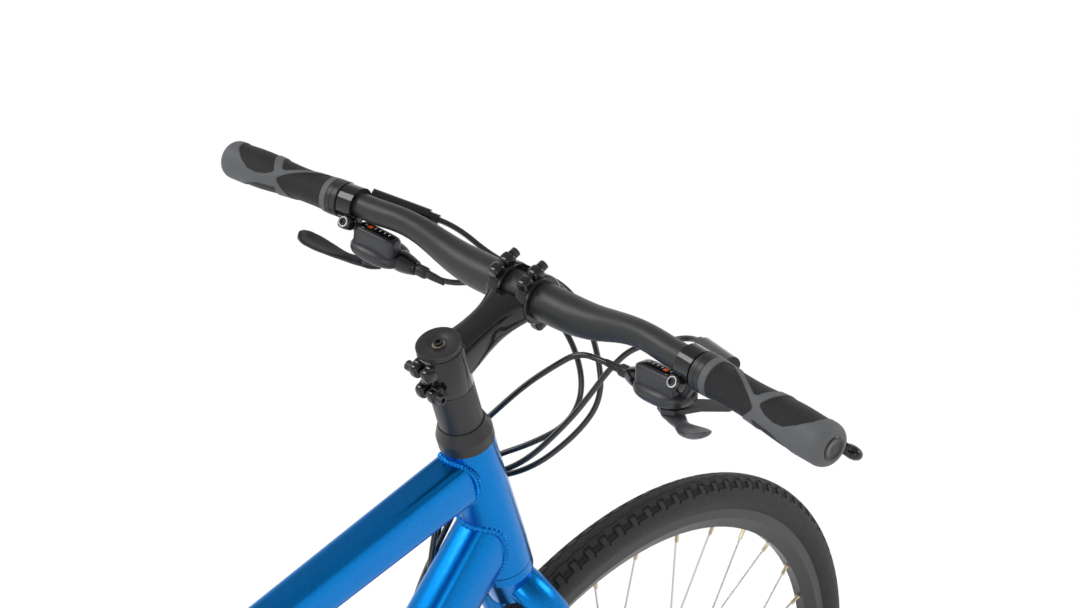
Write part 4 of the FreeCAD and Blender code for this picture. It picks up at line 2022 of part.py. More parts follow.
cage_outline = [
    ("-cage_half_width", "-cage_half_width"),
    ("cage_length + cage_half_width", "-cage_half_width"),
    ("cage_length + cage_half_width", "cage_half_width"),
    ("-cage_half_width", "cage_half_width"),
]
cage_pieces = []
for label, y in (("cage_outer", cage_face + size.cage_plate / 2),
                 ("cage_inner", -size.chainline + size.cage_half_gap + size.cage_plate / 2)):
    cage_pieces.append(plate(label, cage_outline, "cage_plate", across(guide, y), cage_along, LEFT,
                             "cage_half_width - running_gap"))
inner_side = -size.chainline + size.cage_half_gap + size.cage_plate
for spot in (guide, tension):
    cage_pieces.append(rod("pulley_axle", "pulley_axle_radius", across(spot, cage_face),
                           across(spot, inner_side)))
cage_pieces.append(rod("cage_stud", "cage_stud_radius", knuckle_end + LEFT * (size.cage_plate * 2),
                       across(guide, cage_face + size.cage_plate)))
keep("rear_mech_cage", fused("rear_mech_cage", *cage_pieces))
for name, spot in (("guide", guide), ("tension", tension)):
    turn = phase(spot, pitch_radius(size.pulley_teeth))
    disc = sprocket(name + "_disc", size.pulley_teeth, spot, -size.chainline, turn, "sprocket_thickness")
    hub_half = LEFT * (size.cage_half_gap - size.body_gap)
    core = rod(name + "_core", "pulley_axle_radius * 3", across(spot, -size.chainline) - hub_half,
               across(spot, -size.chainline) + hub_half)
    bore = rod(name + "_bore", "pulley_axle_radius + running_gap",
               across(spot, -size.chainline) - hub_half * 2,
               across(spot, -size.chainline) + hub_half * 2)
    keep(name + "_pulley", cut(name + "_pulley", fused(name + "_pulley_blank", disc, core), bore))

# Front derailleur: a band on the seat tube, a link, and a cage over the large ring
band_spot = bracket + seat_up * size.mech_place
band_half = seat_up * (size.mech_band_height / 2)
band = rod("mech_band", "seat_tube_radius + mech_band_wall", band_spot - band_half, band_spot + band_half)
band_hole = rod("band_hole", "seat_tube_radius + running_gap", band_spot - band_half * 2,
                band_spot + band_half * 2)
mech_top = bracket + Vector(-size.mech_back, -size.mech_body_out, size.mech_body_up)
mech_foot = bracket + Vector(-size.mech_back, -size.mech_cage_out, size.mech_cage_up)
mech_run = unit(mech_foot - mech_top)
mech_span = str(round((mech_foot - mech_top).Length, 3))
mech_bar = plate("mech_bar", [
    ("-mech_eye_radius", "-mech_eye_radius"),
    (f"{mech_span} + mech_eye_radius", "-mech_eye_radius"),
    (f"{mech_span} + mech_eye_radius", "mech_eye_radius"),
    ("-mech_eye_radius", "mech_eye_radius"),
], "mech_link_half * 2", mech_top, mech_run, AHEAD, "mech_eye_radius - running_gap")
mech_pin_half = AHEAD * worth("mech_link_half + body_gap + mech_ear")
mech_pins = [rod("mech_pin", "mech_pin_radius", spot - mech_pin_half, spot + mech_pin_half)
             for spot in (mech_top, mech_foot)]
mech_holes = [rod("mech_hole", "mech_pin_radius + running_gap", spot - mech_pin_half * 2,
                  spot + mech_pin_half * 2)
              for spot in (mech_top, mech_foot)]
keep("front_mech_link", fused("front_mech_link", mech_bar, *mech_pins))
mech_ear_level = AHEAD * worth("mech_link_half + body_gap + mech_ear / 2")


def mech_ears(label, spot, shift, height, width):
    """The pair of ears ahead of and behind the link at one of its ends."""
    return [block(label, "mech_ear", width, height, spot + mech_ear_level * hand + shift, AHEAD, UP)
            for hand in (-1, 1)]


body_shift = LEFT * size.mech_eye_radius + UP * (size.mech_eye_radius / 2)
body_ears = mech_ears("mech_body_ear", mech_top, body_shift, "mech_eye_radius * 3", "mech_eye_radius * 4")
set_spot = mech_top + LEFT * (size.mech_eye_radius * size.mech_set_share)
mech_bridge_spot = set_spot + UP * (size.mech_eye_radius / 2)
body_bridge = block("mech_body_bridge", "mech_link_half * 2 + 2 * body_gap + 2 * mech_ear",
                    "mech_eye_radius * mech_bridge_share",
                    "mech_eye_radius * 3", mech_bridge_spot,
                    AHEAD, UP)
body_arm = rod("mech_arm", "mech_arm_radius", band_spot - LEFT * (size.seat_tube_radius / 2),
               set_spot)
keep("front_mech_body", cut("front_mech_body", fused("front_mech_blank", band, body_arm, *body_ears,
                                                     body_bridge),
                            band_hole, mech_holes[0]))
cage_radius = pitch_radius(size.large_ring_teeth) + size.tooth_height + size.mech_cage_clearance
radius_text = str(round(cage_radius, 3))
MECH_SHARES = [(0.16, 1.0), (0.14, 1.17), (-0.36, 1.15), (-0.64, 1.0), (-0.86, 0.78), (-0.8, 0.66),
               (-0.6, 0.82),
               (-0.3, 0.97), (0.0, 1.012)]
mech_cage = []
for hand in (-1, 1):
    y = -size.chainline + hand * (size.mech_cage_half_gap + size.mech_cage_plate / 2)
    mech_cage.append(plate("mech_side", outlined(MECH_SHARES, radius_text, radius_text),
                           "mech_cage_plate",
                           across(bracket, y), AHEAD, -LEFT, "mech_corner"))
roof = across(bracket, -size.chainline) + Vector(-size.mech_back, 0, cage_radius * size.mech_roof_share)
mech_cage.append(block("mech_roof", "mech_bridge_length", "2 * mech_cage_half_gap + 2 * mech_cage_plate",
                       "mech_bridge", roof, AHEAD, UP))
lug_height = mech_foot.z + size.mech_eye_radius - roof.z
for hand in (-1, 1):
    spot = across(mech_foot + mech_ear_level * hand, mech_foot.y)
    lug = doc.addObject("Part::Box", "mech_lug")
    lug.setExpression("Length", bound("mech_ear"))
    lug.setExpression("Width", bound("mech_eye_radius * 2"))
    lug.Height = lug_height
    lug.Placement = Placement(Vector(spot.x - size.mech_ear / 2, spot.y - size.mech_eye_radius, roof.z),
                              Rotation())
    mech_cage.append(lug)
keep("front_mech_cage", cut("front_mech_cage", fused("mech_cage_blank", *mech_cage), mech_holes[1]))

# Hoses and housings, from the controls to the fork and to ports in the down tube
FRONT_HOSE = [(424, 96, 944), (427, 60, 942), (427, 24, 949), (422, -11, 940), (411, -42, 911),
              (402, -57, 878), (388, -44, 844), (368, -12, 803), (352, 34, 776), (340, 50, 735),
              (350, 51, 690), (371, 46, 630), (413, 46, 540), (450, 45, 462)]
REAR_HOSE = [(409, -110, 950), (398, -88, 940), (389, -73, 917), (384, -60, 891), (375, -44, 860),
             (361, -8, 808), (345, 36, 782), (322, 37, 745), (283, 31, 706), (258, 18, 680)]
REAR_HOUSING = [(359, -66, 941), (350, -46, 922), (344, -22, 897), (339, 12, 854), (326, 38, 818),
                (312, 36, 775), (290, 26, 724), (274, 10, 694)]
FRONT_HOUSING = [(381, 64, 947), (399, 38, 943), (408, 8, 931), (406, -22, 909), (397, -41, 880),
                 (386, -36, 851), (370, -10, 827), (352, 21, 807), (332, 44, 776), (309, 43, 722),
                 (289, 14, 680)]


def to_right(spot):
    """The same spot on the right."""
    return Vector(spot.x, -spot.y, spot.z)


caliper_port = across(front_axle, size.front_spacing / 2 - size.rotor_inset + size.caliper_outer / 2)
caliper_port += aslant(size.front_caliper_angle) * (size.rotor_radius + size.caliper_bridge)
hose_way = unit(master_end - master_near)
hose_start = [master_end + hose_way * reach for reach in (size.running_gap, size.hose_lead)]
shift_start = [adjuster_end - pod_out * reach for reach in (size.running_gap, size.hose_lead)]
front_hose = cord("front_hose", "hose_radius", [*hose_start, *FRONT_HOSE, caliper_port])
keep("front_brake_hose", cut("front_brake_hose", front_hose, nodes["front_caliper"]))
housings = [cord("rear_hose", "hose_radius", [*map(to_right, hose_start), *REAR_HOSE]),
            cord("rear_housing", "hose_radius", [*map(to_right, shift_start), *REAR_HOUSING]),
            cord("front_housing", "hose_radius", [*shift_start, *FRONT_HOUSING])]
down_skin = [item for item in doc.Objects if item.Label == "down_tube_skin"][0]
group("control_cables", *[cut(piece.Label + "_run", piece, down_skin) for piece in housings])


# Check every object, then write the pieces out
doc.recompute()
for item in doc.Objects:
    if "Invalid" in item.State or "Error" in item.State:
        raise RuntimeError(f"{item.Label} is {item.State}")
os.makedirs("parts", exist_ok=True)
for label, piece in nodes.items():
    if piece.Shape.isNull() or not piece.Shape.isValid():
        raise RuntimeError(f"{label} has no valid shape")
    piece.Shape.exportStep(f"parts/{label}.step")
    print(label, len(piece.Shape.Solids), round(piece.Shape.Volume))
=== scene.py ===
# %% [markdown]
# # A flat-bar hybrid bike, dressed piece by piece
# The solid model already holds every tube, joint and bearing at its real size. This lesson adds what the
# eye reads first: paint, rubber, steel, tread, welds and cables. Each new piece is a surface worked out
# with numpy, and each one rides on the body that carries it, so the bike can still steer, roll and shift.

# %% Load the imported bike
import math

import bpy
import numpy as np
from mathutils import Matrix


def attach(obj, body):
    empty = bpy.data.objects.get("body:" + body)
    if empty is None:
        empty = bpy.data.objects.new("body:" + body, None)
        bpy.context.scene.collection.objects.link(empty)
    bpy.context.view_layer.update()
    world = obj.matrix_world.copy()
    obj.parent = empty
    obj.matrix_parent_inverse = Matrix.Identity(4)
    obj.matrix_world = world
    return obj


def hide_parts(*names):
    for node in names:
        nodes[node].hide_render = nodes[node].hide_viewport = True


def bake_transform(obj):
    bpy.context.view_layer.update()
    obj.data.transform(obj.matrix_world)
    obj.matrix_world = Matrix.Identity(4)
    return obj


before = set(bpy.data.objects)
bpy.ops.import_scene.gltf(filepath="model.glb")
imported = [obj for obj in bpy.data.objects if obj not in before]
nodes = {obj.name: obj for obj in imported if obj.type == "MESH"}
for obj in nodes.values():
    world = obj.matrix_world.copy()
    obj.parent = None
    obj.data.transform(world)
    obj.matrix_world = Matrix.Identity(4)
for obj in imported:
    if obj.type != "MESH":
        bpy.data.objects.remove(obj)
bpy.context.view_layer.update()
scene = bpy.context.scene
MM = 0.001
UP = np.array((0.0, 0.0, 1.0))
LEFT = np.array((0.0, 1.0, 0.0))
AHEAD = np.array((1.0, 0.0, 0.0))

# %% [markdown]
# ## The camera
# The photograph looks down on the bars from behind the rider's right shoulder. A camera matrix is three
# directions and a place, so the view is written as an azimuth, an elevation and a small roll. A long lens
# keeps the near grip from swelling.

# %% Place the camera
CAMERA_SPOT = np.array((-0.7432, -1.0363, 1.7433))
CAMERA_AZIMUTH = math.radians(-47.39)
CAMERA_ELEVATION = math.radians(27.41)
CAMERA_ROLL = math.radians(2.79)
CAMERA_LENS = 70.87
CAMERA_SENSOR = 36.0


def unit(vector):
    """The vector or vectors divided by their length."""
    vector = np.asarray(vector, float)
    return vector / np.linalg.norm(vector, axis=-1, keepdims=True)


def around(angle, side, rise):
    """Directions at angles from one direction towards another."""
    return np.cos(angle)[..., None] * side + np.sin(angle)[..., None] * rise


def frame_about(axis, hint=UP):
    """Two directions square to an axis, the second as near to the hint as it can be."""
    axis = unit(axis)
    side = unit(np.cross(hint, axis))
    return side, np.cross(axis, side)


def placed(right, up, back, spot):
    """A matrix from three directions and a place."""
    columns = np.eye(4)
    columns[:3] = np.column_stack([right, up, back, spot])
    return Matrix(columns.tolist())


flat_back = np.array((math.sin(CAMERA_AZIMUTH), -math.cos(CAMERA_AZIMUTH), 0.0))
camera_back = around(CAMERA_ELEVATION, flat_back, UP)
level = frame_about(camera_back)
camera_right = around(CAMERA_ROLL, *level)
camera_up = around(CAMERA_ROLL + math.pi / 2, *level)
camera = bpy.data.objects.new("camera", bpy.data.cameras.new("camera"))
camera.data.lens = CAMERA_LENS
camera.data.sensor_width = CAMERA_SENSOR
camera.matrix_world = placed(camera_right, camera_up, camera_back, CAMERA_SPOT)
scene.collection.objects.link(camera)
scene.camera = camera
scene.view_settings.view_transform = "Standard"
print("camera at", CAMERA_SPOT)

# %% [markdown]
# ## Surfaces from grids
# A piece is a grid of points: rows run along it and columns run round it. Whole arrays are worked out at
# once, and one function turns a grid into faces. A closed piece whose volume comes out negative is inside
# out, so its faces are turned over there, which also takes care of mirrored copies.


# %% Build meshes from arrays
def lattice(rows, cols):
    """Two arrays that give every row value with every column value."""
    return np.meshgrid(rows, cols, indexing="ij")


def circle(sides):
    """Evenly spaced angles round a full turn."""
    return np.linspace(0, 2 * math.pi, sides, endpoint=False)


def grid_faces(rows, cols, round_rows=False, round_cols=False):
    """Four-sided faces between neighbours on a grid; a round direction joins its last line to its first."""
    i, j = lattice(np.arange(rows if round_rows else rows - 1), np.arange(cols if round_cols else cols - 1))
    i, j = i.ravel(), j.ravel()
    k, m = (i + 1) % rows, (j + 1) % cols
    return np.stack([i * cols + j, k * cols + j, k * cols + m, i * cols + m], 1)


def outward(points, faces):
    """The faces of a closed mesh, turned over where the sum of its triangles' triple products is negative."""
    points = points - points.mean(0)
    a, b, c, d = (points[faces[:, corner]] for corner in range(4))
    volume = ((np.cross(b, c) + np.cross(c, d)) * a).sum()
    return faces[:, ::-1] if volume < 0 else faces


def piece(name, points, faces, material, body, slot, stands_for=(), sharp=40, values=None):
    """A closed mesh on a body, in place of the solid nodes it stands for; values go to its points."""
    points = np.asarray(points, float).reshape(-1, 3)
    mesh = bpy.data.meshes.new(name)
    listed = [face[:3] if face[0] == face[3] else face for face in outward(points, faces).tolist()]
    mesh.from_pydata(points.tolist(), [], listed)
    for label, value in (values or {}).items():
        padded = np.zeros(len(points), np.float32)
        padded[:value.size] = value.ravel()
        mesh.attributes.new(label, "FLOAT", "POINT").data.foreach_set("value", padded)
    mesh.polygons.foreach_set("use_smooth", np.ones(len(mesh.polygons), bool))
    mesh.set_sharp_from_angle(angle=math.radians(sharp))
    mesh.materials.append(material)
    thing = bpy.data.objects.new(name, mesh)
    scene.collection.objects.link(thing)
    if body:
        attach(thing, body)
    if stands_for:
        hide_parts(*stands_for)
    return thing


def capped(grid):
    """Points and faces of a tube of rings, closed by a fan from a point in the middle of each end ring."""
    rows, cols = grid.shape[:2]
    points = np.concatenate([grid.reshape(-1, 3), grid[[0, -1]].mean(1)])
    ring = np.arange(cols)
    onward = (ring + 1) % cols
    first = np.full(cols, rows * cols)
    last_row = (rows - 1) * cols
    fans = [np.stack([first, ring, onward, first], 1),
            np.stack([first + 1, last_row + onward, last_row + ring, first + 1], 1)]
    return points, np.concatenate([grid_faces(rows, cols, round_cols=True), *fans])


def from_spot(spot, *moves):
    """Places reached from a spot by moves: one or many distances in millimetres, and a direction."""
    return spot + sum(np.asarray(distance)[..., None] * MM * way for distance, way in moves)


# %% [markdown]
# ## The studio
# The bike stands in a white sweep. A big pale floor and a white world light it evenly, and soft lamps
# give the tubes a bright and a shaded side. Only reflections see a dark ceiling, so black parts stay
# black on top. Far from the bike the floor glows a little, which hides where it ends.


# %% Make the floor, the world and the lamps
def shader(material):
    """The node tree of a material and its main shader."""
    material.use_nodes = True
    tree = material.node_tree
    return tree, tree.nodes["Principled BSDF"]


def node(tree, kind, **settings):
    """A node of a kind with its properties set."""
    made = tree.nodes.new(kind)
    for name, value in settings.items():
        setattr(made, name, value)
    return made


def feed(tree, entry, value):
    """Give an input a value: a socket is linked and a number is set."""
    if isinstance(value, (int, float)):
        entry.default_value = value
    else:
        tree.links.new(value, entry)


def sums(tree, operation, first, second):
    """A maths node on two inputs, each a socket or a number."""
    made = node(tree, "ShaderNodeMath", operation=operation)
    feed(tree, made.inputs[0], first)
    feed(tree, made.inputs[1], second)
    return made.outputs[0]


def soft_range(tree, value, low, high, at_low, at_high):
    """A soft step on a socket, from one value at the low place to another at the high one."""
    made = node(tree, "ShaderNodeMapRange", interpolation_type="SMOOTHSTEP")
    labels = ("Value", "From Min", "From Max", "To Min", "To Max")
    for label, entry in zip(labels, (value, low, high, at_low, at_high)):
        feed(tree, made.inputs[label], entry)
    return made.outputs[0]


FLOOR_HALF = 16.0
FLOOR_LINES = 17
FLOOR_COLOUR = (0.95, 0.95, 0.945, 1)
FLOOR_ROUGHNESS = 0.9
WHITE = (1.0, 1.0, 1.0, 1)
GLOW_START, GLOW_END, GLOW = 1.6, 6.0, 0.26
floor_x, floor_y = lattice(*[np.linspace(-FLOOR_HALF, FLOOR_HALF, FLOOR_LINES)] * 2)
floor_points = np.stack([floor_x, floor_y, np.zeros_like(floor_x)], 2).reshape(-1, 3)
floor_material = bpy.data.materials.new("studio_floor")
floor_tree, floor_shader = shader(floor_material)
floor_shader.inputs["Base Color"].default_value = FLOOR_COLOUR
floor_shader.inputs["Roughness"].default_value = FLOOR_ROUGHNESS
floor_shader.inputs["Emission Color"].default_value = WHITE
floor_reach = node(floor_tree, "ShaderNodeVectorMath", operation="LENGTH")
feed(floor_tree, floor_reach.inputs[0], node(floor_tree, "ShaderNodeTexCoord").outputs["Object"])
floor_glow = soft_range(floor_tree, floor_reach.outputs["Value"], GLOW_START, GLOW_END, 0.0, GLOW)
feed(floor_tree, floor_shader.inputs["Emission Strength"], floor_glow)
floor_mesh = bpy.data.meshes.new("floor")
floor_mesh.from_pydata(floor_points.tolist(), [], grid_faces(FLOOR_LINES, FLOOR_LINES).tolist())
floor_mesh.materials.append(floor_material)
floor = bpy.data.objects.new("floor", floor_mesh)
scene.collection.objects.link(floor)

WORLD_LIGHT = 0.84
CEILING_START, CEILING_END = 0.1, 0.65
WALL_SHINE, CEILING_SHINE = 0.95, 0.42
world = bpy.data.worlds.new("studio")
world.use_nodes = True
sky_tree = world.node_tree
sky = sky_tree.nodes["Background"]
sky.inputs["Color"].default_value = WHITE
ray = node(sky_tree, "ShaderNodeLightPath").outputs
seen = sums(sky_tree, "MAXIMUM", ray["Is Camera Ray"], ray["Is Transmission Ray"])
lit = sums(sky_tree, "ADD", sums(sky_tree, "MULTIPLY", seen, 1 - WORLD_LIGHT), WORLD_LIGHT)
heading = node(sky_tree, "ShaderNodeSeparateXYZ")
feed(sky_tree, heading.inputs[0], node(sky_tree, "ShaderNodeTexCoord").outputs["Generated"])
overhead = soft_range(sky_tree, heading.outputs["Z"], CEILING_START, CEILING_END, WALL_SHINE, CEILING_SHINE)
chosen = node(sky_tree, "ShaderNodeMix")
for label, entry in (("Factor", ray["Is Glossy Ray"]), ("A", lit), ("B", overhead)):
    feed(sky_tree, chosen.inputs[label], entry)
feed(sky_tree, sky.inputs["Strength"], chosen.outputs["Result"])
scene.world = world


def lamp(name, spot, aim, width, power):
    """A square soft lamp that faces the aim."""
    light = bpy.data.lights.new(name, "AREA")
    light.size = width
    light.energy = power
    holder = bpy.data.objects.new(name, light)
    back = unit(np.asarray(spot) - np.asarray(aim))
    side, rise = frame_about(back)
    holder.matrix_world = placed(side, rise, back, spot)
    scene.collection.objects.link(holder)


BIKE_MIDDLE = (0.0, 0.0, 0.6)
lamp("key", (-1.6, 2.2, 3.4), BIKE_MIDDLE, 1.6, 52)
lamp("fill", (2.6, -1.8, 2.6), BIKE_MIDDLE, 1.4, 24)
lamp("rear", (-2.8, -1.6, 2.2), BIKE_MIDDLE, 1.2, 16)
print("stage set")

# %% [markdown]
# ## Shared effects
# No real surface is one flat value. Three small node groups are used over and over: mottle drifts the
# colour and the gloss, grain gives a fine height for a bump, and flakes breaks a colour into the tiny
# bright and dark platelets of metallic paint. Each material places them with its own numbers.


# %% Build the node groups
def noise(tree, coordinates, scale, detail):
    """The value of a noise texture; the scale is a socket or a number."""
    made = node(tree, "ShaderNodeTexNoise")
    for label, value in (("Vector", coordinates), ("Scale", scale), ("Detail", detail)):
        feed(tree, made.inputs[label], value)
    return made.outputs["Fac"]


def new_group(name, inputs, outputs):
    """An empty group with its sockets, its ends and Object coordinates."""
    group = bpy.data.node_groups.new(name, "ShaderNodeTree")
    for label, kind, value in inputs:
        group.interface.new_socket(name=label, in_out="INPUT", socket_type=kind).default_value = value
    for label, kind in outputs:
        group.interface.new_socket(name=label, in_out="OUTPUT", socket_type=kind)
    start = node(group, "NodeGroupInput")
    end = node(group, "NodeGroupOutput")
    place = node(group, "ShaderNodeTexCoord").outputs["Object"]
    return group, start.outputs, end.inputs, place


FLOAT, COLOUR = "NodeSocketFloat", "NodeSocketColor"


def brightened(tree, colour, value):
    """The colour with its brightness multiplied by a value."""
    made = node(tree, "ShaderNodeHueSaturation")
    tree.links.new(colour, made.inputs["Color"])
    tree.links.new(value, made.inputs["Value"])
    return made.outputs["Color"]


mottle, given, put, place = new_group(
    "mottle",
    [("Color", COLOUR, (0.5, 0.5, 0.5, 1)), ("Tint", FLOAT, 0.1), ("Roughness", FLOAT, 0.5),
     ("Spread", FLOAT, 0.1), ("Scale", FLOAT, 30.0)],
    [("Color", COLOUR), ("Roughness", FLOAT)])
drift = sums(mottle, "SUBTRACT", noise(mottle, place, given["Scale"], 5), 0.5)
bright = sums(mottle, "ADD", sums(mottle, "MULTIPLY", drift, given["Tint"]), 1.0)
mottle.links.new(brightened(mottle, given["Color"], bright), put["Color"])
haze = sums(mottle, "SUBTRACT", noise(mottle, place, sums(mottle, "MULTIPLY", given["Scale"], 3.0), 4), 0.5)
mottle.links.new(sums(mottle, "ADD", sums(mottle, "MULTIPLY", haze, given["Spread"]), given["Roughness"]),
                 put["Roughness"])

grain, given, put, place = new_group("grain", [("Scale", FLOAT, 900.0)], [("Height", FLOAT)])
grain.links.new(noise(grain, place, given["Scale"], 3), put["Height"])

flakes, given, put, place = new_group(
    "flakes", [("Color", COLOUR, (0.1, 0.1, 0.5, 1)), ("Scale", FLOAT, 1800.0), ("Strength", FLOAT, 0.3)],
    [("Color", COLOUR)])
platelets = node(flakes, "ShaderNodeTexVoronoi")
flakes.links.new(place, platelets.inputs["Vector"])
flakes.links.new(given["Scale"], platelets.inputs["Scale"])
split = node(flakes, "ShaderNodeSeparateColor")
flakes.links.new(platelets.outputs["Color"], split.inputs["Color"])
shine = sums(flakes, "ADD", sums(flakes, "MULTIPLY", sums(flakes, "SUBTRACT", split.outputs["Red"], 0.5),
                                 given["Strength"]), 1.0)
flakes.links.new(brightened(flakes, given["Color"], shine), put["Color"])
print("groups", [group.name for group in (mottle, grain, flakes)])

# %% [markdown]
# ## Finishes
# A finish is a colour, a gloss and a texture at the right scale. One function builds them all from those
# few numbers, so paint, anodised alloy, moulded plastic and rubber differ only in the values they are
# given.


# %% Make the finishes
COAT_ROUGHNESS = 0.04
FLAKE_SCALE = 1500.0


def place_group(tree, group, **values):
    """A group in a material, with its input values set."""
    made = node(tree, "ShaderNodeGroup", node_tree=group)
    for label, value in values.items():
        made.inputs[label].default_value = value
    return made


def finish(name, colour, roughness, metallic=0.0, tint=0.12, spread=0.1, scale=25.0, texture=0.0, depth=0.0,
           coat=0.0, flake=0.0, specular=0.5):
    """A material: a drifting colour and gloss, an optional bump of a scale and a depth, a coat and flakes."""
    material = bpy.data.materials.new(name)
    tree, main = shader(material)
    for label, value in (("Metallic", metallic), ("Specular IOR Level", specular), ("Coat Weight", coat),
                         ("Coat Roughness", COAT_ROUGHNESS)):
        main.inputs[label].default_value = value
    tone = place_group(tree, mottle, Color=(*colour, 1), Tint=tint, Roughness=roughness, Spread=spread,
                       Scale=scale)
    tree.links.new(tone.outputs["Roughness"], main.inputs["Roughness"])
    colour_out = tone.outputs["Color"]
    if flake:
        sparkle = place_group(tree, flakes, Scale=FLAKE_SCALE, Strength=flake)
        tree.links.new(colour_out, sparkle.inputs["Color"])
        colour_out = sparkle.outputs["Color"]
    tree.links.new(colour_out, main.inputs["Base Color"])
    if depth:
        height = place_group(tree, grain, Scale=texture)
        bump = node(tree, "ShaderNodeBump")
        bump.inputs["Distance"].default_value = depth * MM
        tree.links.new(height.outputs["Height"], bump.inputs["Height"])
        tree.links.new(bump.outputs["Normal"], main.inputs["Normal"])
    return material


blue_paint = finish("blue_paint", (0.0005, 0.18, 0.55), 0.26, 0.97, tint=0.06, spread=0.04, coat=0.1,
                    flake=0.3)
gloss_black = finish("gloss_black", (0.006, 0.006, 0.007), 0.14, tint=0.2, spread=0.05, coat=0.35,
                     specular=0.3)
satin_black = finish("satin_black", (0.012, 0.012, 0.013), 0.42, tint=0.2, texture=1500.0, depth=0.02)
bar_black = finish("bar_black", (0.022, 0.023, 0.024), 0.42, 0.2, tint=0.15, spread=0.08, texture=2600.0,
                   depth=0.02)
black_alloy = finish("black_alloy", (0.022, 0.022, 0.024), 0.34, 0.3, tint=0.2, texture=2200.0, depth=0.015)
bright_steel = finish("bright_steel", (0.6, 0.6, 0.59), 0.26, 1.0, tint=0.15, spread=0.12, scale=120.0)
rotor_steel = finish("rotor_steel", (0.5, 0.5, 0.5), 0.3, 1.0, tint=0.2, spread=0.2, scale=300.0)
chain_steel = finish("chain_steel", (0.42, 0.39, 0.34), 0.32, 1.0, tint=0.4, spread=0.2, scale=260.0)
brass = finish("brass", (0.55, 0.47, 0.33), 0.3, 1.0, tint=0.2)
tyre_rubber = finish("tyre_rubber", (0.015, 0.015, 0.016), 0.62, tint=0.45, spread=0.2, scale=70.0,
                     texture=1700.0, depth=0.05, specular=0.35)
rim_black = finish("rim_black", (0.02, 0.02, 0.021), 0.36, 0.2, tint=0.2, texture=1900.0, depth=0.012)
moulded = finish("moulded", (0.024, 0.025, 0.028), 0.36, tint=0.25, texture=1400.0, spread=0.12, depth=0.03)
paddle_grey = finish("paddle_grey", (0.075, 0.078, 0.084), 0.34, tint=0.2, texture=1200.0, depth=0.03)
hose_black = finish("hose_black", (0.012, 0.012, 0.013), 0.26, tint=0.2, coat=0.25)
rubber_black = finish("rubber_black", (0.02, 0.02, 0.02), 0.6, tint=0.2, texture=1300.0, depth=0.04,
                      specular=0.3)
tube_rubber = finish("tube_rubber", (0.03, 0.03, 0.03), 0.6)
print("finishes", len(bpy.data.materials))

# %% [markdown]
# ## Dress the solid nodes
# Tubes, links, rings and housings already have their real shape in the solid model. They keep their mesh
# and get a finish that belongs to the piece.


# %% Give the solid nodes their finishes
def dress(material, *names):
    """Put one finish on solid nodes."""
    for name in names:
        nodes[name].data.materials.clear()
        nodes[name].data.materials.append(material)


dress(blue_paint, "head_tube", "bottom_bracket_shell", "seat_tube", "rear_triangle", "fork")
dress(gloss_black, "brake_lever_bodies", "left_brake_lever", "right_brake_lever")
dress(satin_black, "headset_stack", "seatpost", "seat_collar", "front_hub", "rear_hub", "front_caliper",
      "rear_caliper", "cockpit_bolts")
dress(bar_black, "handlebar")
dress(black_alloy, "frame_bearings", "crank_arms", "left_pedal", "right_pedal", "rear_mech_outer_link",
      "rear_mech_inner_link", "rear_mech_knuckle", "rear_mech_body", "front_mech_body", "front_mech_link",
      "chainrings", "rear_mech_cage", "front_mech_cage")
dress(bright_steel, "front_spokes", "rear_spokes", "front_axle", "rear_axle", "saddle_rails")
dress(rotor_steel, "front_rotor", "rear_rotor")
dress(chain_steel, "chain", "cassette")
dress(rim_black, "front_rim", "rear_rim")
dress(tube_rubber, "front_inner_tube", "rear_inner_tube")
dress(moulded, "left_release_trigger", "right_release_trigger", "guide_pulley", "tension_pulley")
print("solid nodes dressed")

# %% [markdown]
# ## Cables and hoses
# Four black lines leave the bar. The real ones are stiff, so they sweep in wide curves from the controls
# to the frame. Each is a short list of points on one smooth spline, and a round section is carried along
# the line that the spline gives. Three of them cross the steering joint.

# %% Carry a round section along each route
HOSE_RADIUS = 2.5
HOSE_FACE = (1.0, 0.12, 0.08)
HOSE_SIDES = 16
ROUTES = {
    "front_brake_line": [(409.62, 146.11, 964.39), (416.84, 132.3, 961.11), (424, 96, 944), (427, 60, 942),
                         (427, 24, 949), (422, -11, 940), (411, -42, 911), (402, -57, 878), (388, -44, 844),
                         (368, -12, 803), (359, 36, 776), (366, 53, 735), (380, 54, 690), (388, 49, 630),
                         (413, 46, 540), (450, 45, 462), (462.87, 43.1, 405.21)],
    "rear_brake_line": [(409.62, -146.11, 964.39), (416.84, -132.3, 961.11), (409, -110, 950),
                        (398, -88, 940), (389, -73, 917), (384, -60, 891), (375, -44, 860), (361, -8, 808),
                        (345, 36, 782), (322, 37, 745), (283, 31, 706), (258, 18, 680)],
    "rear_shift_line": [(361.66, -103.54, 942.32), (363.71, -87.84, 940.66), (359, -66, 941), (350, -46, 922),
                        (344, -22, 897), (339, 12, 854), (326, 38, 818), (312, 36, 775), (290, 26, 724),
                        (274, 10, 694)],
    "front_shift_line": [(361.66, 103.54, 942.32), (363.71, 87.84, 940.66), (381, 64, 947), (399, 38, 943),
                         (408, 8, 931), (406, -22, 909), (397, -41, 880), (386, -36, 851), (370, -10, 827),
                         (352, 21, 807), (332, 44, 776), (309, 43, 722), (289, 14, 680)],
}


def vertices(mesh):
    """The points of a mesh as an array."""
    spots = np.zeros(len(mesh.vertices) * 3)
    mesh.vertices.foreach_get("co", spots)
    return spots.reshape(-1, 3)


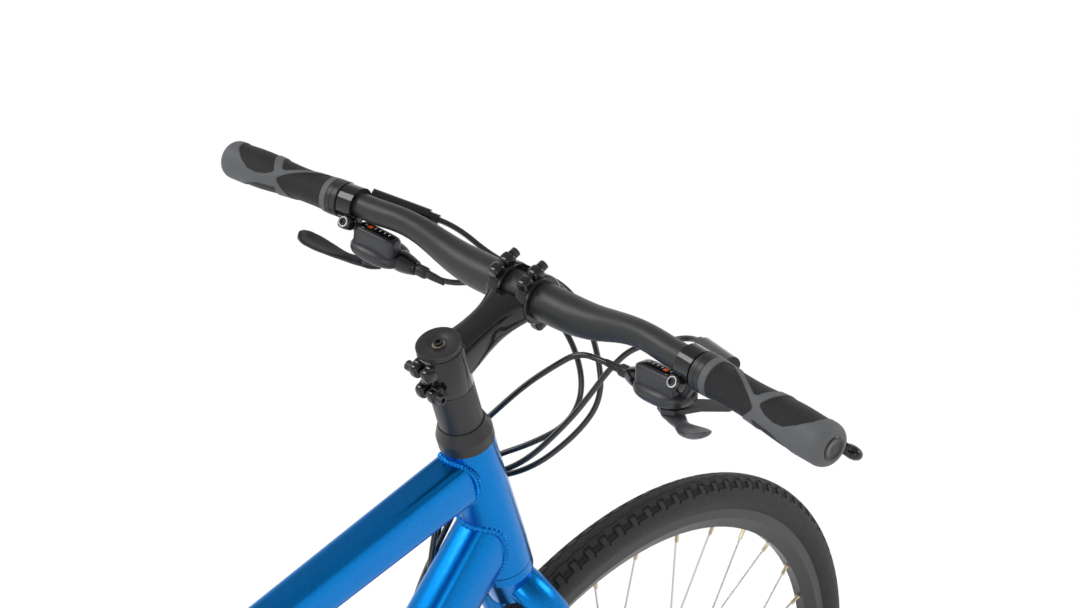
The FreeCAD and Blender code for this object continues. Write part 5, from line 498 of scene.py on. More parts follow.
def along_route(name):
    """Points of the smooth spline that has the route's points as its control points, in metres."""
    curve = bpy.data.curves.new(name, "CURVE")
    curve.dimensions = "3D"
    curve.resolution_u = 12
    spline = curve.splines.new("NURBS")
    route = np.array(ROUTES[name]) * MM
    spline.points.add(len(route) - 1)
    spline.points.foreach_set("co", np.column_stack([route, np.ones(len(route))]).ravel())
    spline.order_u = 3
    spline.use_endpoint_u = True
    holder = bpy.data.objects.new(name, curve)
    mesh = bpy.data.meshes.new_from_object(holder)
    line = vertices(mesh)
    bpy.data.objects.remove(holder)
    bpy.data.meshes.remove(mesh)
    bpy.data.curves.remove(curve)
    return line


def path_length(path):
    """The length of a path in metres, to the millimetre."""
    return round(np.linalg.norm(np.diff(path, axis=0), axis=1).sum(), 3)


def rounded_section(angle, power):
    """Width and height shares of a section: cosine and sine, each drawn out towards a box by the power."""
    cosine, sine = np.cos(angle), np.sin(angle)
    return (np.sign(cosine) * np.abs(cosine) ** (2 / power), np.sign(sine) * np.abs(sine) ** (2 / power))


def strap(path, face, half_width, half_thick, dish=0.0, sides=40, power=2.4):
    """A closed rounded section along a path; the face is its upper side, and the dish lowers its middle."""
    side, over = frame_about(np.gradient(path, axis=0), face)
    width, thick, sag, power = (np.broadcast_to(value, len(path))[:, None]
                                for value in (half_width, half_thick, dish, power))
    wide, tall = rounded_section(circle(sides), power)
    lift = thick * tall - sag * (1 - wide ** 2)
    return capped(from_spot(path[:, None], (width * wide, side[:, None]), (lift, over[:, None])))


def hose(path, radius):
    """A closed round line along a path; the radius is one value or one for each point."""
    return strap(path, HOSE_FACE, radius, radius, sides=HOSE_SIDES, power=2.0)


cable_lines = {name: along_route(name) for name in ROUTES}
for line_name, line in cable_lines.items():
    shape = hose(line, HOSE_RADIUS)
    if line_name == "front_brake_line":
        piece(line_name, *shape, hose_black, "steering", "hose_skin", ["front_brake_hose"])
    else:
        cable = piece(line_name, *shape, hose_black, None, "hose_skin", ["control_cables"])
        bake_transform(cable)
    print(line_name, "length", path_length(line))

# %% [markdown]
# ## Tyres
# A road tyre is a round section with a shallow tread. The tread repeats, so a groove is a short line on
# an unrolled strip, and a point sinks by how close it lies to the nearest line. The grid has rows just
# beside every cross groove and columns beside every long one, so the edges stay crisp without a very fine
# mesh. The same sunk depth darkens the rubber's colour in the grooves: a painted shade for the shadow inside
# them.

# %% Roll the tread round both wheels
SECTION_CENTRE = 330.0
SECTION_RADIUS = 18.0
WALL_THICKNESS = 2.8
INNER_COLUMNS = 8
INNER_EDGE = 44.0
TREAD_REPEATS = 110
TREAD_PITCH = 2 * math.pi * (SECTION_CENTRE + SECTION_RADIUS) / TREAD_REPEATS
GROOVE_DEPTH = 1.4
# Painted shade: the dark colour that the rubber takes inside the grooves, standing in for their shadow.
GROOVE_SHADE = (0.004, 0.004, 0.004)
CROWN_LINE = 4.0
CROWN_WAVE = 0.5
CROWN_DEPTH = 0.7
AXLES = {"front": np.array((0.53104, 0.0, 0.348)), "rear": np.array((-0.53104, 0.0, 0.348))}
FIRST_CROSS = 0.0
SECOND_CROSS = 0.42 * TREAD_PITCH
SHOULDER_LINES = [((FIRST_CROSS, 8.2), (FIRST_CROSS, 19.2)), ((SECOND_CROSS, 8.2), (SECOND_CROSS, 16.0)),
                  ((FIRST_CROSS, 8.2), (SECOND_CROSS, 8.2)), ((SECOND_CROSS, 16.0), (TREAD_PITCH, 16.0)),
                  ((SECOND_CROSS, 12.4), (TREAD_PITCH, 12.4))]


def smooth(low, high, value):
    """A soft step from 0 at low to 1 at high."""
    share = np.clip((np.asarray(value, float) - low) / (high - low), 0, 1)
    return share * share * (3 - 2 * share)


def line_distance(along, across, start, end):
    """Distance from points on an unrolled skin to the straight line between two places."""
    run = np.subtract(end, start)
    along, across = along - start[0], across - start[1]
    share = np.clip((along * run[0] + across * run[1]) / (run @ run), 0, 1)
    return np.hypot(along - share * run[0], across - share * run[1])


def tread(along, across):
    """Groove depth from 0 to 1: shoulder lines, out of step left and right, and a wavy crown line."""
    shifted = np.where(across > 0, along, along - SECOND_CROSS) % TREAD_PITCH
    out = np.abs(across)
    nearest = np.min([line_distance(shifted - repeat, out, *line) for line in SHOULDER_LINES
                      for repeat in (-TREAD_PITCH, 0.0, TREAD_PITCH)], axis=0)
    crown = np.abs(out - CROWN_LINE - CROWN_WAVE * np.sin(2 * math.pi * shifted / TREAD_PITCH))
    return np.maximum(1 - smooth(0.6, 1.2, nearest), CROWN_DEPTH * (1 - smooth(0.3, 0.8, crown)))


beside_groove = np.array((-1.2, -0.6, 0.6, 1.2))
cross_rows = np.add.outer((FIRST_CROSS, SECOND_CROSS, 2 * SECOND_CROSS), beside_groove).ravel()
one_repeat = np.sort(np.append(cross_rows, (0.5 * SECOND_CROSS, 1.5 * SECOND_CROSS)))
tread_rows = (one_repeat + TREAD_PITCH * np.arange(TREAD_REPEATS)[:, None]).ravel()
half_columns = np.array((1.8, 3.2, 3.7, 4.3, 4.9, 6.2, 7.6, 8.2, 8.8, 10.4, 11.8, 12.4, 13.0, 14.3, 15.4,
                         16.0, 16.6, 18.0, 19.2, 20.2, 23.0, 28.0, 33.0, 38.0, 42.0, 45.9))
tread_columns = np.concatenate([-half_columns[::-1], [0.0], half_columns])
sunk = tread(*lattice(tread_rows, tread_columns))
inner_skin = np.zeros((len(tread_rows), INNER_COLUMNS))
section_turn = np.append(tread_columns, np.linspace(INNER_EDGE, -INNER_EDGE, INNER_COLUMNS)) / SECTION_RADIUS
section_depth = SECTION_RADIUS - np.concatenate([GROOVE_DEPTH * sunk, inner_skin + WALL_THICKNESS], 1)
turn = (tread_rows / (SECTION_CENTRE + SECTION_RADIUS))[:, None]
reach = SECTION_CENTRE + section_depth * np.cos(section_turn)
tyre_side = section_depth * np.sin(section_turn)
tyre_points = from_spot(np.zeros(3), (reach, around(turn, AHEAD, UP)), (tyre_side, LEFT))
# The sunk depth also goes to the finish as the mask of the painted shade in the grooves.
groove_shade_values = {"groove": np.concatenate([sunk, inner_skin], 1)}
tyre_faces = grid_faces(*tyre_points.shape[:2], round_rows=True, round_cols=True)


def tinted(material, label, colour):
    """Mix another colour into a material where a point attribute is high."""
    tree, main = shader(material)
    blended = node(tree, "ShaderNodeMix", data_type="RGBA")
    feed(tree, blended.inputs[0], node(tree, "ShaderNodeAttribute", attribute_name=label).outputs["Fac"])
    feed(tree, blended.inputs[6], main.inputs["Base Color"].links[0].from_socket)
    blended.inputs[7].default_value = (*colour, 1)
    feed(tree, main.inputs["Base Color"], blended.outputs[2])


# Painted shade: the tyre rubber darkens where the tread sinks, standing in for the shadow that falls in the
# grooves.
tinted(tyre_rubber, "groove", GROOVE_SHADE)
for end, axle in AXLES.items():
    piece(f"{end}_tyre_tread", tyre_points + axle, tyre_faces, tyre_rubber, f"{end}_wheel", "tyre_rubber",
          [f"{end}_tyre"], values=groove_shade_values)
print("tyre faces", len(tyre_faces))

# %% [markdown]
# ## Nipples
# Each spoke ends in a small brass nut that leans along the spoke. Thirty-two short turned shapes are
# worked out from the same angles as the spokes and joined to one piece on each wheel.

# %% Seat a nipple on every spoke
NIPPLE_PROFILE = [(2.5, -1.0), (2.5, 1.0), (2.0, 2.0), (2.0, 9.0), (1.4, 11.0)]
NIPPLE_RADIUS = 294.5
FLANGE_RADIUS = 26.0
FLANGE_PLACES = {"front": (-33.0, 20.0), "rear": (-21.0, 33.0)}
SPOKES = 32
SPOKE_START = 11.1
SPOKE_LEAN = 67.5


def many(blocks):
    """Several point and face arrays as one."""
    starts = np.cumsum([0] + [len(points) for points, faces in blocks[:-1]])
    return (np.concatenate([points for points, faces in blocks]),
            np.concatenate([outward(*block) + start for block, start in zip(blocks, starts)]))


def turned(profile, base, axis, sides=48, hint=UP):
    """Rings about an axis: each profile row gives a radius and a distance along the axis."""
    radius, distance = np.asarray(profile, float).T[..., None]
    return from_spot(base, (distance, unit(axis)), (radius, around(circle(sides), *frame_about(axis, hint))))


nipple_turn = np.radians(SPOKE_START + 360 / SPOKES * np.arange(SPOKES))
hook_turn = nipple_turn + np.radians(np.tile((SPOKE_LEAN, -SPOKE_LEAN, -SPOKE_LEAN, SPOKE_LEAN), SPOKES // 4))
for end, axle in AXLES.items():
    flanges = np.tile(FLANGE_PLACES[end], SPOKES // 2)
    seats = from_spot(axle, (NIPPLE_RADIUS, around(nipple_turn, AHEAD, UP)))
    hooks = from_spot(axle, (FLANGE_RADIUS, around(hook_turn, AHEAD, UP)), (flanges, LEFT))
    nipples = [capped(turned(NIPPLE_PROFILE, seat, hook - seat, sides=8, hint=LEFT))
               for seat, hook in zip(seats, hooks)]
    piece(f"{end}_nipples", *many(nipples), brass, f"{end}_wheel", "bright_steel")
    print(end, "nipples", len(nipples))

# %% [markdown]
# ## Grips
# The grips are moulded in two rubbers: a grey web with an end cup, and black ribbed pads sunk a little
# below it. A pad is an outline on the unrolled skin. Points inside an outline sink by how deep they lie
# in it, and the same value tells the finish where the black rubber begins. The ribs are too fine for a
# mesh, so they are a bump.

# %% Mould the two grips
GRIP_START = np.array((0.34791, 0.20899, 0.98326))
BAR_OUT = np.array((-0.12934, 0.9916, 0.0))
BAR_AHEAD = np.array((0.9916, 0.1293, 0.0))
GRIP_LENGTH = 123.0
GRIP_ROWS, GRIP_COLUMNS = 190, 168
GRIP_SKIN = 16.5
GRIP_VIEW = math.radians(144.8)
SKIN_PLACES = (0, 6, 36, 87, 114, 123)
SKIN_RADII = (15.9, 15.5, 14.8, 17.6, 17.1, 17.0)
CUP_START = 114.0
CUP_ROUND = 6.5
PAD_DEPTH = 0.8
PAD_COLOUR = (0.01, 0.01, 0.011)
RIB_PITCH = 1.7
RIB_HEIGHT = 0.2
RIB_ALONG, RIB_AROUND = 0.86, 0.5
RING_LENGTH = 11.0
RING_PROFILE = [(11.6, 0.0), (15.3, 0.0), (15.9, 0.6), (15.9, 4.9), (15.5, 5.2), (15.5, 5.8), (15.9, 6.1),
                (15.9, 10.3), (15.3, 10.9), (11.6, 10.9)]
DISC_PROFILE = [(9.8, -2.0), (9.8, 0.3), (9.3, 0.8), (7.6, 0.9), (7.2, 0.6), (3.0, 0.7)]
PADS = [[(6, -130), (6, 66), (12, 80), (33, 40), (47, 10), (56, -14), (55, -26), (46, -62), (36, -130)],
        [(18, 125), (18, 86), (34, 50), (50, 18), (54, 20), (61, 60), (64, 125)],
        [(60, 6), (68, 54), (73, 125), (110, 125), (110, 60), (107, 32), (98, 4), (88, -16), (78, -20),
         (68, -14), (61, -2)],
        [(56, -46), (76, -48), (90, -62), (98, -90), (98, -150), (60, -150)]]


def mirrored(points, hand):
    """The points on the left for a hand of 1, and their mirror image on the right for -1."""
    return np.asarray(points) * np.array((1, hand, 1))


HANDS = (("left", 1), ("right", -1))


def on_both_hands(name, shape, material, slot, body="steering", stands_for=(), values=None):
    """A shape on the left and its mirror image on the right; the body's name may hold the side."""
    for side, hand in HANDS:
        piece(f"{side}_{name}", mirrored(shape[0], hand), shape[1], material, body.format(side=side), slot,
              stands_for, values=values)


def eased(places, values, at):
    """A smooth curve through given values: a cubic between neighbours with slopes taken from both sides."""
    places, values = np.asarray(places, float), np.asarray(values, float)
    slopes = np.gradient(values, places)
    left = np.clip(np.searchsorted(places, at) - 1, 0, len(places) - 2)
    step = places[left + 1] - places[left]
    share = (at - places[left]) / step
    rise = values[left + 1] - values[left]
    bend_in = slopes[left] * step - rise
    bend_out = rise - slopes[left + 1] * step
    return values[left] + share * rise + share * (1 - share) * ((1 - share) * bend_in + share * bend_out)


def inside_depth(along, across, outline):
    """Distance from each point to the outline, positive for points that the outline encloses."""
    corners = np.array(outline, float) * (1.0, math.radians(1) * GRIP_SKIN)
    inside = np.zeros(along.shape, bool)
    nearest = np.full(along.shape, np.inf)
    for start, end in zip(corners, np.roll(corners, -1, axis=0)):
        nearest = np.minimum(nearest, line_distance(along, across, start, end))
        if start[1] != end[1]:
            slope = (end[0] - start[0]) / (end[1] - start[1])
            crossed = (start[1] > across) != (end[1] > across)
            inside ^= crossed & (along < start[0] + slope * (across - start[1]))
    return np.where(inside, nearest, -nearest)


grip_along, grip_turn = lattice(np.linspace(0, GRIP_LENGTH, GRIP_ROWS), circle(GRIP_COLUMNS) - math.pi)
grip_around = grip_turn * GRIP_SKIN
cup = np.clip((grip_along - CUP_START) / (GRIP_LENGTH - CUP_START), 0, 1)
pad_depth = np.max([inside_depth(grip_along, grip_around, pad) for pad in PADS], axis=0)
grip_skin = eased(SKIN_PLACES, SKIN_RADII, grip_along) - CUP_ROUND * (1 - np.sqrt(1 - cup * cup))
grip_skin = grip_skin - PAD_DEPTH * smooth(-0.1, 1.1, pad_depth)
rib_phase = (grip_along * RIB_ALONG + grip_around * RIB_AROUND) / RIB_PITCH
grip_out = around(GRIP_VIEW - grip_turn, BAR_AHEAD, UP)
grip = capped(from_spot(GRIP_START, (grip_along, BAR_OUT), (grip_skin, grip_out)))
grip_values = {"pad": smooth(-0.1, 0.7, pad_depth), "rib": rib_phase}

grip_rubber = finish("grip_rubber", (0.09, 0.093, 0.098), 0.58, tint=0.2, spread=0.12, scale=60.0,
                     texture=1500.0, depth=0.05, specular=0.4)
tinted(grip_rubber, "pad", PAD_COLOUR)
grip_tree, grip_shader = shader(grip_rubber)
phase = node(grip_tree, "ShaderNodeAttribute", attribute_name="rib").outputs["Fac"]
pad_mask = node(grip_tree, "ShaderNodeAttribute", attribute_name="pad").outputs["Fac"]
rib_wave = sums(grip_tree, "SINE", sums(grip_tree, "MULTIPLY", phase, 2 * math.pi), 0.0)
rib_bump = node(grip_tree, "ShaderNodeBump")
rib_bump.inputs["Distance"].default_value = RIB_HEIGHT * MM
feed(grip_tree, rib_bump.inputs["Height"], sums(grip_tree, "MULTIPLY", rib_wave, pad_mask))
feed(grip_tree, rib_bump.inputs["Normal"], grip_shader.inputs["Normal"].links[0].from_socket)
feed(grip_tree, grip_shader.inputs["Normal"], rib_bump.outputs["Normal"])
on_both_hands("grip", grip, grip_rubber, "grip_rubber", stands_for=["grips"], values=grip_values)
ring = capped(turned(RING_PROFILE, from_spot(GRIP_START, (-RING_LENGTH, BAR_OUT)), BAR_OUT))
on_both_hands("lock_ring", ring, satin_black, "black_alloy", stands_for=["grips"])
disc = capped(turned(DISC_PROFILE, from_spot(GRIP_START, (GRIP_LENGTH, BAR_OUT)), BAR_OUT))
on_both_hands("grip_disc", disc, gloss_black, "black_plastic")
print("grip faces", len(grip[1]))

# %% [markdown]
# ## Main tubes
# The top and down tubes are drawn to shape: boxy with soft corners at the head, rounder at the other end.
# A section whose two axes are raised to a power lies between a circle and a box, and the power slides
# along the tube. Far finer than the solid's facets, this skin lets the paint carry long clean
# reflections.

# %% Skin the top and down tubes
HEAD_TOP = np.array((0.30373, 0.0, 0.85459))
STEER_UP = np.array((-0.3256, 0.0, 0.9455))
SEAT_TOP = np.array((-0.23015, 0.0, 0.73424))
SEAT_UP = np.array((-0.2924, 0.0, 0.9563))
TOP_FRONT = np.array((0.31382, 0.0, 0.82528))
TOP_REAR = np.array((-0.21787, 0.0, 0.69408))
DOWN_FRONT = np.array((0.33661, 0.0, 0.7591))
DOWN_RUN = np.array((0.666, 0.0, 0.746))
BRACKET = np.array((-0.09127, 0.0, 0.28))
TOP_SIZES = ((36.0, 45.0), (31.0, 31.0))
TOP_POWERS = (4.2, 2.1)
DOWN_SIZES = ((44.0, 57.0), (50.0, 40.0))
DOWN_POWERS = (2.9, 2.6)
TUBE_ROWS, TUBE_COLUMNS = 70, 112


def slid(ends, share):
    """A value that slides from the first of two ends to the second."""
    return ends[0] + (ends[1] - ends[0]) * share


def half_sizes(sizes, share):
    """Half the width and half the height of a tube at a share of its length."""
    return [slid(ends, share) / 2 for ends in zip(*sizes)]


def tube_skin(front, rear, sizes, powers):
    """A closed tube from front to rear whose width, height and power slide from one end to the other."""
    share = np.linspace(0, 1, TUBE_ROWS)
    return strap(slid((front, rear), share[:, None]), np.cross(front - rear, LEFT), *half_sizes(sizes, share),
                 sides=TUBE_COLUMNS, power=slid(powers, share))


for tube_name, skin in (("top_tube", tube_skin(TOP_FRONT, TOP_REAR, TOP_SIZES, TOP_POWERS)),
                        ("down_tube", tube_skin(DOWN_FRONT, BRACKET, DOWN_SIZES, DOWN_POWERS))):
    piece(f"{tube_name}_skin", *skin, blue_paint, "frame", "frame_paint", [tube_name], sharp=60)
    print(tube_name, "faces", len(skin[1]))

# %% [markdown]
# ## Weld beads
# Aluminium tubes are joined by a row of small overlapping puddles. Every point of a tube's outline is
# carried along the tube until it meets the other tube, which gives the seam. A thin round section follows
# that seam, and a wave along it, pulled into crescents, makes the puddles.

# %% Lay beads where the tubes meet
SEAM_POWER = 2.7
SEAM_POINTS = 420
BEAD_RADIUS = 3.3
BEAD_SIDES = 12
PUDDLES = 50
PUDDLE_SWELL = 0.16
CRESCENT = 1.1


def seam_path(middle, run, size, axis_spot, axis, radius):
    """Where lines along a tube from its outline first meet a round tube: the near root of a quadratic."""
    run, axis = unit(run), unit(axis)
    rise = unit(np.cross(run, LEFT))
    wide, tall = rounded_section(circle(SEAM_POINTS), SEAM_POWER)
    starts = from_spot(middle, (size[0] / 2 * wide, LEFT), (size[1] / 2 * tall, rise))
    offset = starts - axis_spot
    offset = offset - (offset @ axis)[:, None] * axis
    across = run - (run @ axis) * axis
    a = across @ across
    b = offset @ across
    c = (offset * offset).sum(1) - (radius * MM) ** 2
    return starts + ((-b - np.sqrt(np.maximum(b * b - a * c, 0))) / a)[:, None] * run


def bead(path, run):
    """A closed round bead on a seam: its radius waves, and the wave is bent into crescents."""
    step = np.linalg.norm(np.roll(path, -1, 0) - path, axis=1)
    share = (np.cumsum(step) - step) / step.sum()
    onward = unit(np.roll(path, -1, 0) - np.roll(path, 1, 0))
    out = unit(np.cross(onward, unit(run)))[:, None]
    over = np.cross(out, onward[:, None])
    angle = circle(BEAD_SIDES)
    wave = np.sin(2 * math.pi * PUDDLES * share[:, None] + CRESCENT * np.cos(angle))
    grid = from_spot(path[:, None], (BEAD_RADIUS * (1 + PUDDLE_SWELL * wave), around(angle, out, over)))
    return grid, grid_faces(len(path), BEAD_SIDES, round_rows=True, round_cols=True)


WELDS = {"top_tube_front_weld": (TOP_FRONT, TOP_FRONT - TOP_REAR, TOP_SIZES[0], HEAD_TOP, STEER_UP, 23.0),
         "down_tube_weld": (DOWN_FRONT, DOWN_RUN, DOWN_SIZES[0], HEAD_TOP, STEER_UP, 23.4),
         "top_tube_rear_weld": (TOP_REAR, TOP_REAR - TOP_FRONT, TOP_SIZES[1], SEAT_TOP, SEAT_UP, 16.0)}
for weld_name, weld in WELDS.items():
    seam = seam_path(*weld)
    piece(weld_name, *bead(seam, weld[1]), blue_paint, "frame", "frame_paint")
    print(weld_name, "round", path_length(seam))

# %% [markdown]
# ## Saddle
# A saddle is a foam pad on a stiff base under a stretched cover. Its outline is given by a few stations
# from back to front, and each station is a rounded section: soft on top and flat below. A shallow channel
# runs along the middle and a seam runs near each edge, where the cover's panels are sewn.

# %% Shape the saddle
SADDLE_BACK = -0.41677
SADDLE_LENGTH = 268.0
SADDLE_WIDTH = 164.0
SADDLE_TOP = 975.4
SADDLE_RISE = 54.0
SADDLE_DEPTH = 44.0
SADDLE_ROWS, SADDLE_COLUMNS = 150, 120
SIDE_POWER, TOP_POWER, BASE_POWER = 0.8, 0.95, 0.55
CHANNEL_DEPTH, CHANNEL_HALF = 4.5, 8.0
SEAM_DEPTH, SEAM_HALF, SEAM_SHARE = 0.9, 1.1, 0.66
SEAM_COLOUR = (0.006, 0.006, 0.006)
STATIONS = np.array([(0, 0.5, 0.12, 0.6), (0.07, 0.84, 0.05, 0.86), (0.18, 1, 0, 1), (0.31, 0.92, 0.02, 1),
                     (0.45, 0.66, 0.08, 0.94), (0.58, 0.43, 0.13, 0.86), (0.72, 0.33, 0.14, 0.8),
                     (0.86, 0.29, 0.14, 0.74), (0.95, 0.25, 0.16, 0.66), (1, 0.15, 0.24, 0.42)])
saddle_share, saddle_turn = lattice(np.linspace(0, 1, SADDLE_ROWS), circle(SADDLE_COLUMNS))
widths, falls, depths = (eased(STATIONS[:, 0], STATIONS[:, column], saddle_share) for column in (1, 2, 3))
half_width = 0.5 * SADDLE_WIDTH * widths
half_depth = 0.5 * SADDLE_DEPTH * depths
cosine, sine = np.cos(saddle_turn), np.sin(saddle_turn)
sideways = half_width * np.sign(cosine) * np.abs(cosine) ** SIDE_POWER
upward = half_depth * np.sign(sine) * np.abs(sine) ** np.where(sine > 0, TOP_POWER, BASE_POWER)
on_top = smooth(0.05, 0.3, sine)
channel_run = smooth(0.1, 0.25, saddle_share) * (1 - smooth(0.72, 0.9, saddle_share))
channel = np.exp(-(sideways / CHANNEL_HALF) ** 2) * channel_run * on_top
seam_place = np.abs(np.abs(sideways) - SEAM_SHARE * half_width)
seam_line = np.exp(-(seam_place / SEAM_HALF) ** 2) * on_top
plain_height = SADDLE_TOP - SADDLE_RISE * falls - half_depth + upward
height = plain_height - CHANNEL_DEPTH * channel - SEAM_DEPTH * seam_line
saddle_grid = np.stack([SADDLE_BACK + saddle_share * SADDLE_LENGTH * MM, sideways * MM, height * MM], 2)
saddle_cover = finish("saddle_cover", (0.02, 0.02, 0.021), 0.5, tint=0.3, spread=0.15, scale=60.0,
                      texture=1100.0, depth=0.12)
tinted(saddle_cover, "seam", SEAM_COLOUR)
saddle = piece("saddle_pad", *capped(saddle_grid), saddle_cover, "seat", "saddle_cover", ["saddle"],
               values={"seam": seam_line})

# %% [markdown]
# ## Shifters
# Each shifter hangs under the bar: a pebble-shaped body, a slim gear window above it, a cone that leads
# the cable out, and a fluted barrel to trim its tension. Soft moulded shapes are blocks whose outline and
# edge are both drawn out from a round, so one function makes the pebble, the window and its pane.

# %% Mould the shifters
LEVER_SPOT = np.array((0.35049, 0.18916, 0.98326))
POD_SPOT = np.array((0.35437, 0.15941, 0.95226))
POD_MIDDLE = np.array((0.35432, 0.15983, 0.94829))
POD_OUT = np.array((-0.1286, 0.9862, 0.1045))
POD_UP = np.array((0.0135, -0.1037, 0.9945))
NOSE_START = np.array((0.35702, 0.13912, 0.94609))
SHIFT_PIVOT = np.array((0.35334, 0.1673, 0.9531))
PIVOT_PROFILE = [(3.0, 0.0), (3.0, 24.0)]
NOSE_PROFILE = [(9.0, 0.0), (9.5, 2.0), (9.3, 6.0), (8.2, 12.0), (6.6, 18.0), (6.0, 19.4), (5.0, 20.0)]
BARREL_PROFILE = [(4.0, 0.0), (5.0, 0.8), (5.2, 2.0), (5.2, 9.0), (4.6, 10.5), (3.6, 11.0), (3.4, 15.8)]
BARREL_SIDES = 120
FLUTES = 12
FLUTE_DEPTH = 0.09
NECK_RADIUS = 5.0
BOOT_PLACES = (15.5, 29.0)
BOOT_RADII = (3.5, 2.75)
BOOT_ROWS = 10
NEAR_POLE = 0.499 * math.pi
TICK_PLACES = (-12.0, -7.0, -2.0, 3.0, 13.0)
TICK_SIZE = (1.2, 3.2, 0.3)
MARKER_PLACE = 8.0
MARKER_SIZE = (5.0, 4.5, 0.35)
POD_SIZE = (54, 38, 18)
WINDOW_SIZE = (44, 16, 20)
WINDOW_RISE, WINDOW_BACK, WINDOW_SINK = 11.0, 6.0, 4.0
PANE_SIZE = (34, 10.5, 1.6)
PANE_RISE, PRINT_RISE = 5.9, 0.8
NECK_DROP, NECK_OUT = 12.5, 21.0
BARREL_INWARD = 19.8


def soft_block(centre, along, up, size, flat_power, edge_power, sides=64, rows=25):
    """A closed block: a rounded outline on the flat, shrunk towards top and bottom by a rounded curve."""
    along, up = unit(along), unit(up)
    slope, angle = lattice(np.linspace(-NEAR_POLE, NEAR_POLE, rows), circle(sides))
    shrink, height = rounded_section(slope, edge_power)
    long, wide = rounded_section(angle, flat_power)
    length, width, thick = np.array(size) / 2
    return capped(from_spot(centre, (shrink * long * length, along),
                            (shrink * wide * width, np.cross(along, up)), (height * thick, up)))


def loop_ring(profile, base, axis, sides=64):
    """A closed ring: a looped profile of radius and distance in millimetres, turned about an axis."""
    grid = turned(profile, base, axis, sides)
    return grid.reshape(-1, 3), grid_faces(len(profile), sides, round_rows=True, round_cols=True)


window_middle = from_spot(POD_SPOT, (WINDOW_RISE, POD_UP), (-WINDOW_BACK, BAR_AHEAD))
window_base = from_spot(window_middle, (-WINDOW_SINK, POD_UP))
window_top = from_spot(window_middle, (PANE_RISE, POD_UP))
print_spot = from_spot(window_top, (PRINT_RISE, POD_UP))
neck_ends = from_spot(LEVER_SPOT, (-NECK_DROP, UP)), from_spot(POD_SPOT, (NECK_OUT, POD_OUT))
neck_path = np.linspace(*neck_ends, 12)
pod_shapes = [soft_block(POD_MIDDLE, POD_OUT, POD_UP, POD_SIZE, 2.6, 2.4),
              soft_block(window_base, POD_OUT, POD_UP, WINDOW_SIZE, 5.0, 6.0),
              capped(turned(PIVOT_PROFILE, SHIFT_PIVOT, -POD_UP, 24, hint=LEFT)),
              hose(neck_path, NECK_RADIUS)]
barrel_start = from_spot(NOSE_START, (-BARREL_INWARD, POD_OUT))
barrel_rings = turned(BARREL_PROFILE, barrel_start, -POD_OUT, BARREL_SIDES)
flute = 1 - FLUTE_DEPTH * smooth(-0.2, 0.6, np.cos(FLUTES * circle(BARREL_SIDES)))
centres = barrel_rings.mean(1, keepdims=True)
barrel_rings[1:5] = (centres + (barrel_rings - centres) * flute[None, :, None])[1:5]
boot_ends = [from_spot(barrel_start, (-place, POD_OUT)) for place in BOOT_PLACES]
boot = hose(np.linspace(*boot_ends, BOOT_ROWS), np.linspace(*BOOT_RADII, BOOT_ROWS))
pane = soft_block(window_top, POD_OUT, POD_UP, PANE_SIZE, 6.0, 3.0, rows=9)
tick_spots = [from_spot(print_spot, (place, POD_OUT), (1.0, BAR_AHEAD)) for place in TICK_PLACES]
ticks = many([soft_block(spot, POD_OUT, POD_UP, TICK_SIZE, 5.0, 3.0, 16, 5) for spot in tick_spots])
marker_spot = from_spot(print_spot, (MARKER_PLACE, POD_OUT))
marker = soft_block(marker_spot, POD_OUT, POD_UP, MARKER_SIZE, 4.0, 3.0, sides=24, rows=5)
tick_white = finish("tick_white", (0.62, 0.62, 0.6), 0.4)
marker_orange = finish("marker_orange", (0.75, 0.13, 0.02), 0.35)
on_both_hands("shifter_body", many(pod_shapes), moulded, "black_plastic", stands_for=["shifter_housings"])
nose = capped(turned(NOSE_PROFILE, NOSE_START, -POD_OUT))
on_both_hands("shifter_nose", nose, gloss_black, "black_plastic")
on_both_hands("cable_barrel", capped(barrel_rings), satin_black, "black_plastic")
on_both_hands("cable_boot", boot, rubber_black, "hose_skin")
on_both_hands("gear_pane", pane, gloss_black, "black_plastic")
on_both_hands("gear_ticks", ticks, tick_white, "black_plastic")
on_both_hands("gear_marker", marker, marker_orange, "black_plastic")
print("shifter parts", len(pod_shapes) + 6)

# %% [markdown]
# ## Thumb paddles
# The paddle that the thumb pushes is a spoon: a narrow neck that widens into a dished pad. It is a flat
# oval section carried along a bent path, with its own width at each point and its middle pressed down.

# %% Bend the paddles
THUMB_SPOT = np.array((0.35307, 0.1694, 0.93291))
THUMB_WAY = np.array((-0.52, 0.85, 0.1))
THUMB_RISE = np.array((-0.5, 0.79, 0.37))
THUMB_FACE = np.array((0.16, -0.33, 0.93))
PADDLE_MOVES = ((-9.0, 0.0), (6.0, 0.0), (20.0, 0.0), (22.0, 20.0), (22.0, 46.0))
PADDLE_MOVE_SHARES = (0, 0.2, 0.42, 0.7, 1)
PADDLE_WIDTHS = (5.0, 8.6, 8.0, 6.4, 9.4, 11.6, 9.4, 6.2, 2.0)
PADDLE_WIDTH_SHARES = (0, 0.08, 0.25, 0.45, 0.65, 0.84, 0.95, 0.985, 1)
PADDLE_THICK = 2.3
PADDLE_DISH = 2.2
PADDLE_ROWS = 60
paddle_share = np.linspace(0, 1, PADDLE_ROWS)
paddle_bend = np.array([from_spot(THUMB_SPOT, (out, THUMB_WAY), (up, THUMB_RISE))
                        for out, up in PADDLE_MOVES])
paddle_path = np.stack([eased(PADDLE_MOVE_SHARES, places, paddle_share) for places in paddle_bend.T], 1)
paddle_width = eased(PADDLE_WIDTH_SHARES, PADDLE_WIDTHS, paddle_share)
paddle_dish = PADDLE_DISH * smooth(0.45, 0.7, paddle_share) * (1 - smooth(0.9, 1.0, paddle_share))
paddle = strap(paddle_path, THUMB_FACE, paddle_width, PADDLE_THICK, paddle_dish)
